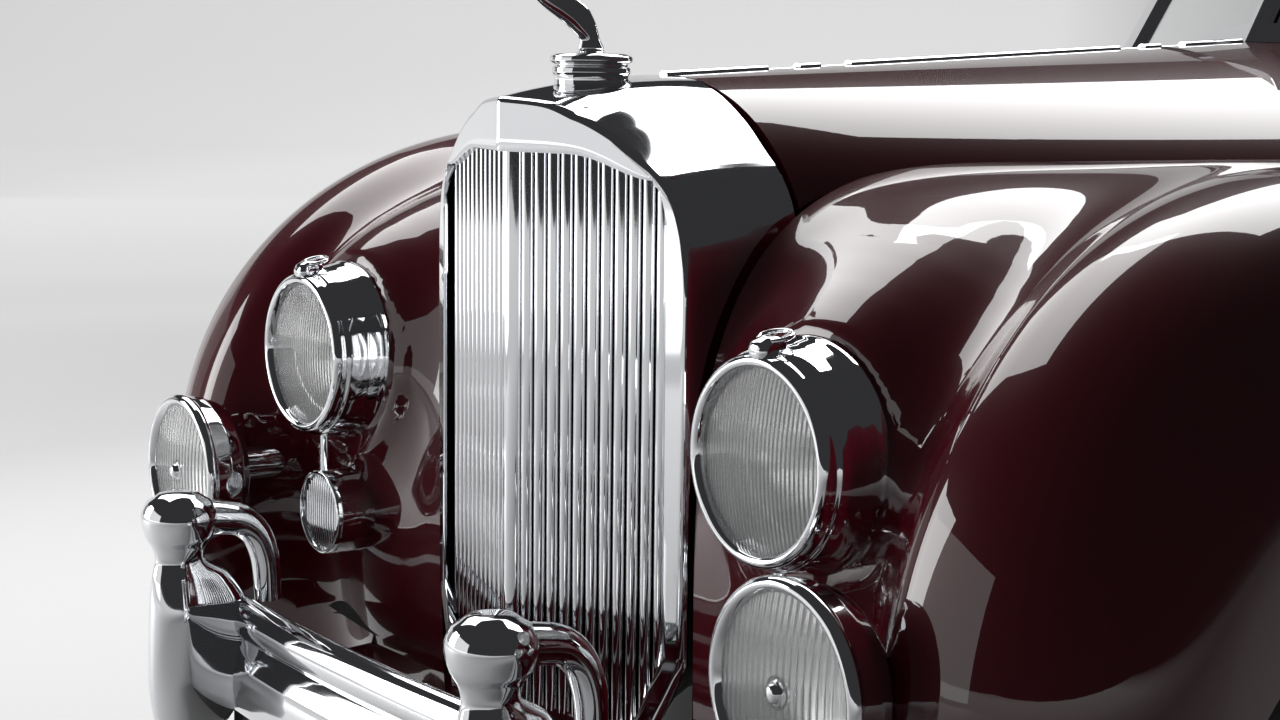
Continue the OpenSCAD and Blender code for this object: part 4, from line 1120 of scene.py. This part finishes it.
for name, sign in (("front", 1), ("rear", -1)):
    bumper_skin(f"{name}_bumper_bar", f"{name}_bumper", sign)
    pair = overrider_skin(OVER_X, sign).joined(overrider_skin(-OVER_X, sign))
    pair.piece(f"{name}_overrider_skins", "car", "chrome", replaces=[f"{name}_overriders"], smooth=50)


# Wheels and tyres
WHEEL_AT = {"front_left": (720, -1760), "front_right": (-720, -1760), "rear_left": (725, 1290),
            "rear_right": (-725, 1290)}
TREAD_TOP, GROOVE_FLOOR, GROOVE_HALF = 369.8, 362.5, 3


def tyre_skin(name, x, y):
    wall = rounded([(208, 57), (214, 66), (229, 76), (250, 81.5), (280, 84), (312, 81), (338, 73.5),
                    (354, 64), (362, 56)], 8, 3)
    t = np.linspace(0, 2 * np.pi, 150, endpoint=False)
    wave_of_tread = 2.2 * np.sin(t * 50)
    # Rows of radius, distance from the middle, and whether the row waves
    rows = [(r, -d, 0) for r, d in wall] + [(367, -50, 0), (369, -44, 0)]
    for g in (-30, -10, 10, 30):
        for r, d in ((TREAD_TOP, -GROOVE_HALF - 1), (GROOVE_FLOOR, -GROOVE_HALF), (GROOVE_FLOOR, GROOVE_HALF),
                     (TREAD_TOP, GROOVE_HALF + 1)):
            rows.append((r, g + d, 1))
    rows += [(369, 44, 0), (367, 50, 0)] + [(r, d, 0) for r, d in wall[::-1]]
    rings = [np.stack([x + d + wave_of_tread * moves, y + r * np.cos(t), AXLE_Z + r * np.sin(t)], axis=1)
             for r, d, moves in rows]
    b = Build().grid(rings, wrap=True)
    return b.piece(f"tyre_tread_{name}", f"wheel_{name}", "tyre", replaces=[f"tyre_{name}"], smooth=38)


# Sections of the wheel as (radius, distance outwards)
DISC = [(64, -20), (70, 8), (118, 26), (150, 20), (176, 8), (184, -52), (196, -62), (204, -64), (206.5, -58),
        (206.5, 58), (205, 67), (200, 69), (190, 64), (184, 44), (178, 39), (150, 45), (132, 50), (110, 50)]
CAP = [(124, 47), (122, 52), (112, 58), (92, 66), (60, 72), (34, 74), (30, 72), (26, 73), (12, 74),
       (0.001, 74)]
TRIM = [(186, 56), (190, 67), (197, 72), (204, 72), (207, 68)]


def wheel_skin(name, x, y):
    out = 1 if x > 0 else -1
    for piece, section, corner, step, mat, smooth in (("wheel_disc", DISC, 4, 8, "paint", 45),
                                                      ("hub_cap", CAP, 3, 5, "chrome", 50),
                                                      ("rim_trim", TRIM, 2, 5, "chrome", 50)):
        profile = [(r, x + out * d) for r, d in fine(rounded(section, corner), step)]
        b = revolve(profile, (0, y, AXLE_Z), (1, 0, 0))
        b.piece(f"{piece}_{name}", f"wheel_{name}", mat, smooth=smooth,
                replaces=[f"wheel_{name}"] if section is DISC else ())


for name, (x, y) in WHEEL_AT.items():
    tyre_skin(name, x, y)
    wheel_skin(name, x, y)


# Soft trim
BALL_SHARE = 0.42


def pad_start(low, high, shrink, cells):
    """Closed pad with crowned faces, as points on a subdivided box drawn in at its corners."""
    low, high = np.array(low, float) + shrink, np.array(high, float) - shrink
    bm = bmesh.new()
    bmesh.ops.create_cube(bm, size=2.0)
    bmesh.ops.subdivide_edges(bm, edges=bm.edges, cuts=cells, use_grid_fill=True)
    half, mid = (high - low) / 2, (high + low) / 2
    for v in bm.verts:
        p = np.array(v.co)
        q = p.copy()
        for k in range(3):
            a, c = p[(k + 1) % 3], p[(k + 2) % 3]
            q[k] = p[k] * math.sqrt(max(0.05, 1 - a * a / 2 - c * c / 2 + a * a * c * c / 3))
        p = (1 - BALL_SHARE) * p + BALL_SHARE * q
        v.co = Vector((mid + half * p) * MM)
    return bm


FRAMES = 20


def blow(name, low, high, cells, rise=26.0, shrink=10.0, pressure=4.0):
    """A pad's mesh, blown up by the cloth solver by no more than the rise in millimetres."""
    bm = pad_start(low, high, shrink, cells)
    mesh = bpy.data.meshes.new(name)
    bm.to_mesh(mesh)
    bm.free()
    obj = bpy.data.objects.new(name, mesh)
    bpy.context.scene.collection.objects.link(obj)
    start = np.array([v.co[:] for v in mesh.vertices])
    mod = obj.modifiers.new("fill", "CLOTH")
    cloth = mod.settings
    cloth.use_pressure = True
    cloth.uniform_pressure_force = pressure
    cloth.effector_weights.gravity = 0.0
    cloth.quality = 4
    cloth.tension_stiffness = cloth.compression_stiffness = 18
    mod.collision_settings.use_collision = False
    scene = bpy.context.scene
    for f in range(1, FRAMES + 1):
        scene.frame_set(f)
    dg = bpy.context.evaluated_depsgraph_get()
    done = obj.evaluated_get(dg).to_mesh()
    end = np.array([v.co[:] for v in done.vertices])
    obj.evaluated_get(dg).to_mesh_clear()
    obj.modifiers.remove(mod)
    scene.frame_set(1)
    move = end - start
    size = np.linalg.norm(move, axis=1)
    move *= np.minimum(1, rise * MM / np.maximum(size, 1e-9))[:, None]
    start = start + move
    mesh.vertices.foreach_set("co", start.ravel())
    return obj, mesh


def finish_pad(obj, mesh, low, high, replaces, shape):
    """Subdivides a pad once, pleats it and fits it to its solid's box."""
    sub = bmesh.new()
    sub.from_mesh(mesh)
    bmesh.ops.subdivide_edges(sub, edges=sub.edges, cuts=1, use_grid_fill=True, smooth=0.9)
    sub.to_mesh(mesh)
    sub.free()
    co = np.array([v.co[:] for v in mesh.vertices]) / MM
    co = shape(co)
    low, high = np.array(low, float), np.array(high, float)
    a, b = co.min(0), co.max(0)
    co = low + (co - a) / (b - a) * (high - low)
    mesh.vertices.foreach_set("co", (co * MM).ravel())
    mesh.update()
    mesh.polygons.foreach_set("use_smooth", [True] * len(mesh.polygons))
    mesh.materials.clear()
    mesh.materials.append(MAT["leather"])
    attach(obj, "car")
    if replaces:
        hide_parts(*replaces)
    return obj


def pleats(axis, facing, low, high, pitch, depth=7, margin=60):
    """Sewn channels on the face of a pad that looks along an axis, or against it, between margins."""
    low, high = np.array(low, float), np.array(high, float)

    def shape(co):
        u = co[:, 0]
        near = co[:, axis] - low[axis] if facing > 0 else high[axis] - co[:, axis]
        v = near / (high[axis] - low[axis])
        edge_gap = np.minimum(u - low[0], high[0] - u) - margin
        inside = np.clip(edge_gap / 12, 0, 1)
        phase = (u - low[0] - margin) / pitch
        groove = np.exp(-((phase - np.round(phase)) * pitch / 3.2) ** 2)
        face = np.clip((v - 0.55) / 0.25, 0, 1)
        out = co.copy()
        out[:, axis] -= facing * (depth * groove * inside * face)
        edge = np.exp(-(edge_gap / 4.0) ** 2)
        out[:, axis] -= facing * (depth * 1.3 * edge * face)
        return out
    return shape


CUSHION, SQUAB = ([70, -420, 470], [590, 120, 690]), ([70, 60, 640], [590, 200, 1090])
REAR_CUSHION, REAR_SQUAB = ([-520, 560, 566.3], [520, 1020, 760]), ([-520, 960, 700], [520, 1100, 1080])
PLEAT_FACE = {"cushion": (2, 1), "squab": (1, -1)}


def seat_pad(name, part, low, high, pitch, replaces, cells):
    obj, mesh = blow(name, low, high, cells=cells)
    shape = pleats(*PLEAT_FACE[part], low, high, pitch)
    finish_pad(obj, mesh, low, high, replaces, shape)


def seat_pads():
    for hand, s in (("left", 1), ("right", -1)):
        for part, (low, high) in (("cushion", CUSHION), ("squab", SQUAB)):
            lo, hi = np.array(low, float), np.array(high, float)
            if s < 0:
                lo[0], hi[0] = -hi[0], -lo[0]
            seat_pad(f"front_{part}_{hand}", part, lo, hi, 48, ["front_seats"], 22)
    for part, (low, high) in (("cushion", REAR_CUSHION), ("squab", REAR_SQUAB)):
        seat_pad(f"rear_{part}", part, low, high, 50, ["rear_seat"] if part == "cushion" else [], 34)


seat_pads()


def folded_hood():
    """The hood's cloth lying in folds across the well behind the rear seat."""
    folds, y0, y1, z0, z1 = 9, 1156.0, 1414.0, 897.0, 1140.0
    pitch = (z1 - z0) / folds
    path = []
    for k in range(folds + 1):
        z = z0 + pitch * k
        ys = np.linspace(y0 + 14, y1 - 14, 12)
        if k % 2:
            ys = ys[::-1]
        for i, y in enumerate(ys):
            path.append((y, z + 3.0 * math.sin(0.9 * i + k)))
        if k < folds:
            s = 1 if k % 2 == 0 else -1
            for a in np.radians([-60, -30, 0, 30, 60]):
                path.append((ys[-1] + s * 13 * math.cos(a), z + pitch / 2 + pitch / 2 * math.sin(a)))
    path = np.array(path)
    d = np.concatenate([[0], np.cumsum(np.linalg.norm(np.diff(path, axis=0), axis=1))])
    width = 1010.0
    rings = []
    for u in np.linspace(-1, 1, 61):
        droop = 9 * abs(u) ** 3 + 2.5 * math.sin(7 * u)
        squeeze = 1 - 0.07 * abs(u) ** 4
        ring = []
        for (y, z), s in zip(path, d):
            yy = (y0 + y1) / 2 + (y - (y0 + y1) / 2) * squeeze + 2.2 * math.sin(5.3 * u + s * 0.004)
            zz = z0 + (z - z0) * (1 - droop / 260) + 1.6 * math.sin(11 * u + s * 0.01)
            ring.append((u * width / 2, yy, zz))
        rings.append(ring)
    b = Build().grid(rings)
    obj = b.piece("folded_hood", "car", "cloth", replaces=["hood_stack"], smooth=80, weld=0)
    solid = obj.modifiers.new("thickness", "SOLIDIFY")
    solid.thickness = 0.003
    solid.offset = 0


folded_hood()


# Backdrop glow by distance from the car, as a share of the ramp, and how steep the distance grows
GLOW = [(0.104, 0.0), (0.188, 0.04), (0.26, 0.30), (0.324, 0.50), (0.412, 0.60), (0.536, 0.67), (0.64, 0.70),
        (0.664, 0.65), (0.736, 0.60), (1.0, 0.50)]
GLOW_STEEP = (0.04, 0.04, 0.12)
# Metres to the right of the camera's line over which the glow fades out
FADE_FROM, FADE_TO = 2.0, 5.5


def pale(nt, bsdf):
    """Backdrop glow for camera and reflections, without the floor by the car; clear from outside."""
    ray = nt.nodes.new("ShaderNodeLightPath").outputs
    place = nt.nodes.new("ShaderNodeNewGeometry")
    seen = math_node(nt, "ShaderNodeMath", "ADD", ray["Is Camera Ray"], ray["Is Glossy Ray"])
    also = math_node(nt, "ShaderNodeMath", "ADD", seen.outputs[0], ray["Is Transmission Ray"])
    also.use_clamp = True
    position = place.outputs["Position"]
    steep = math_node(nt, "ShaderNodeVectorMath", "MULTIPLY", position, GLOW_STEEP)
    reach = math_node(nt, "ShaderNodeVectorMath", "LENGTH", steep.outputs[0])
    glow = ramp(nt, reach.outputs["Value"], [(at, grey(v)) for at, v in GLOW])
    right = (math.cos(CAM_AZ), math.sin(CAM_AZ), 0)
    across = math_node(nt, "ShaderNodeVectorMath", "DOT_PRODUCT", position, right)
    fade = nt.nodes.new("ShaderNodeMapRange")
    for key, value in {"From Min": FADE_FROM, "From Max": FADE_TO, "To Min": 1.0, "To Max": 0.0}.items():
        fade.inputs[key].default_value = value
    nt.links.new(across.outputs["Value"], fade.inputs["Value"])
    gain = math_node(nt, "ShaderNodeMath", "MULTIPLY", also.outputs[0], fade.outputs["Result"])
    nt.links.new(glow, bsdf.inputs["Emission Color"])
    nt.links.new(gain.outputs[0], bsdf.inputs["Emission Strength"])
    clear = nt.nodes.new("ShaderNodeBsdfTransparent")
    sided = nt.nodes.new("ShaderNodeMixShader")
    for i, source in enumerate((place.outputs["Backfacing"], bsdf.outputs[0], clear.outputs[0])):
        nt.links.new(source, sided.inputs[i])
    nt.links.new(sided.outputs[0], nt.nodes["Material Output"].inputs["Surface"])


HALF_FLOOR, ROW_STEPS = 18, 6


def stage():
    """Floor and wall in one sweep across the camera's line, from rows of distance and height."""
    mesh = bpy.data.meshes.new("studio")
    rows = [(-16, 0), (13.5, 0), (14.8, 0.1), (15.6, 0.5), (16.0, 1.3), (16.1, 4.0), (16.1, 7.0)]
    fine_rows = []
    for a, b in zip(rows[:-1], rows[1:]):
        for k in range(ROW_STEPS):
            fine_rows.append((mix(a[0], b[0], k / ROW_STEPS), mix(a[1], b[1], k / ROW_STEPS)))
    fine_rows.append(rows[-1])
    back = Vector((math.sin(CAM_AZ), -math.cos(CAM_AZ), 0))
    right = Vector((math.cos(CAM_AZ), math.sin(CAM_AZ), 0))
    verts, faces = [], []
    for d, z in fine_rows:
        for w in (-HALF_FLOOR, HALF_FLOOR):
            v = -back * d + right * w
            verts.append((v.x, v.y, z))
    for i in range(len(fine_rows) - 1):
        faces.append((2 * i, 2 * i + 1, 2 * i + 3, 2 * i + 2))
    mesh.from_pydata(verts, [], faces)
    mesh.polygons.foreach_set("use_smooth", [True] * len(mesh.polygons))
    mat, nt, bsdf = material("studio_sweep")
    wander(nt, bsdf.inputs["Base Color"], 0.3, 1.0, grey(0.72), grey(0.75))
    pale(nt, bsdf)
    set_inputs(bsdf, Roughness=0.7)
    mesh.materials.append(mat)
    obj = bpy.data.objects.new("studio", mesh)
    bpy.context.scene.collection.objects.link(obj)


def area_light(name, place, target, size, power, size_y):
    data = bpy.data.lights.new(name, "AREA")
    data.shape = "RECTANGLE"
    data.size, data.size_y = size, size_y
    data.energy = power
    obj = bpy.data.objects.new(name, data)
    bpy.context.scene.collection.objects.link(obj)
    obj.location = place
    d = Vector(target) - Vector(place)
    obj.rotation_euler = d.to_track_quat("-Z", "Y").to_euler()


def lights():
    world = bpy.data.worlds.new("studio_air")
    bpy.context.scene.world = world
    world.use_nodes = True
    world.node_tree.nodes["Background"].inputs["Color"].default_value = (0.035, 0.035, 0.037, 1)
    area_light("overhead", (-1.35, 2.0, 4.2), (-1.35, 2.0, 0), 3.1, 250, 5.0)
    area_light("left_overhead", (-3.4, -1.7, 4.0), (-3.4, -1.7, 0), 3.8, 110, 2.6)
    nose = (0, -2.3, 0.9)
    area_light("front_panel", (-2.8, -7.2, 1.7), nose, 6.0, 50, 3.2)
    area_light("key_panel", (-3.4, -5.0, 1.7), nose, 1.8, 72, 2.6)
    area_light("left_panel", (-7.5, -3.3, 1.6), (0, -2.3, 1.0), 4.0, 11, 3.0)


stage()
lights()
bpy.context.scene.view_settings.view_transform = "Standard"
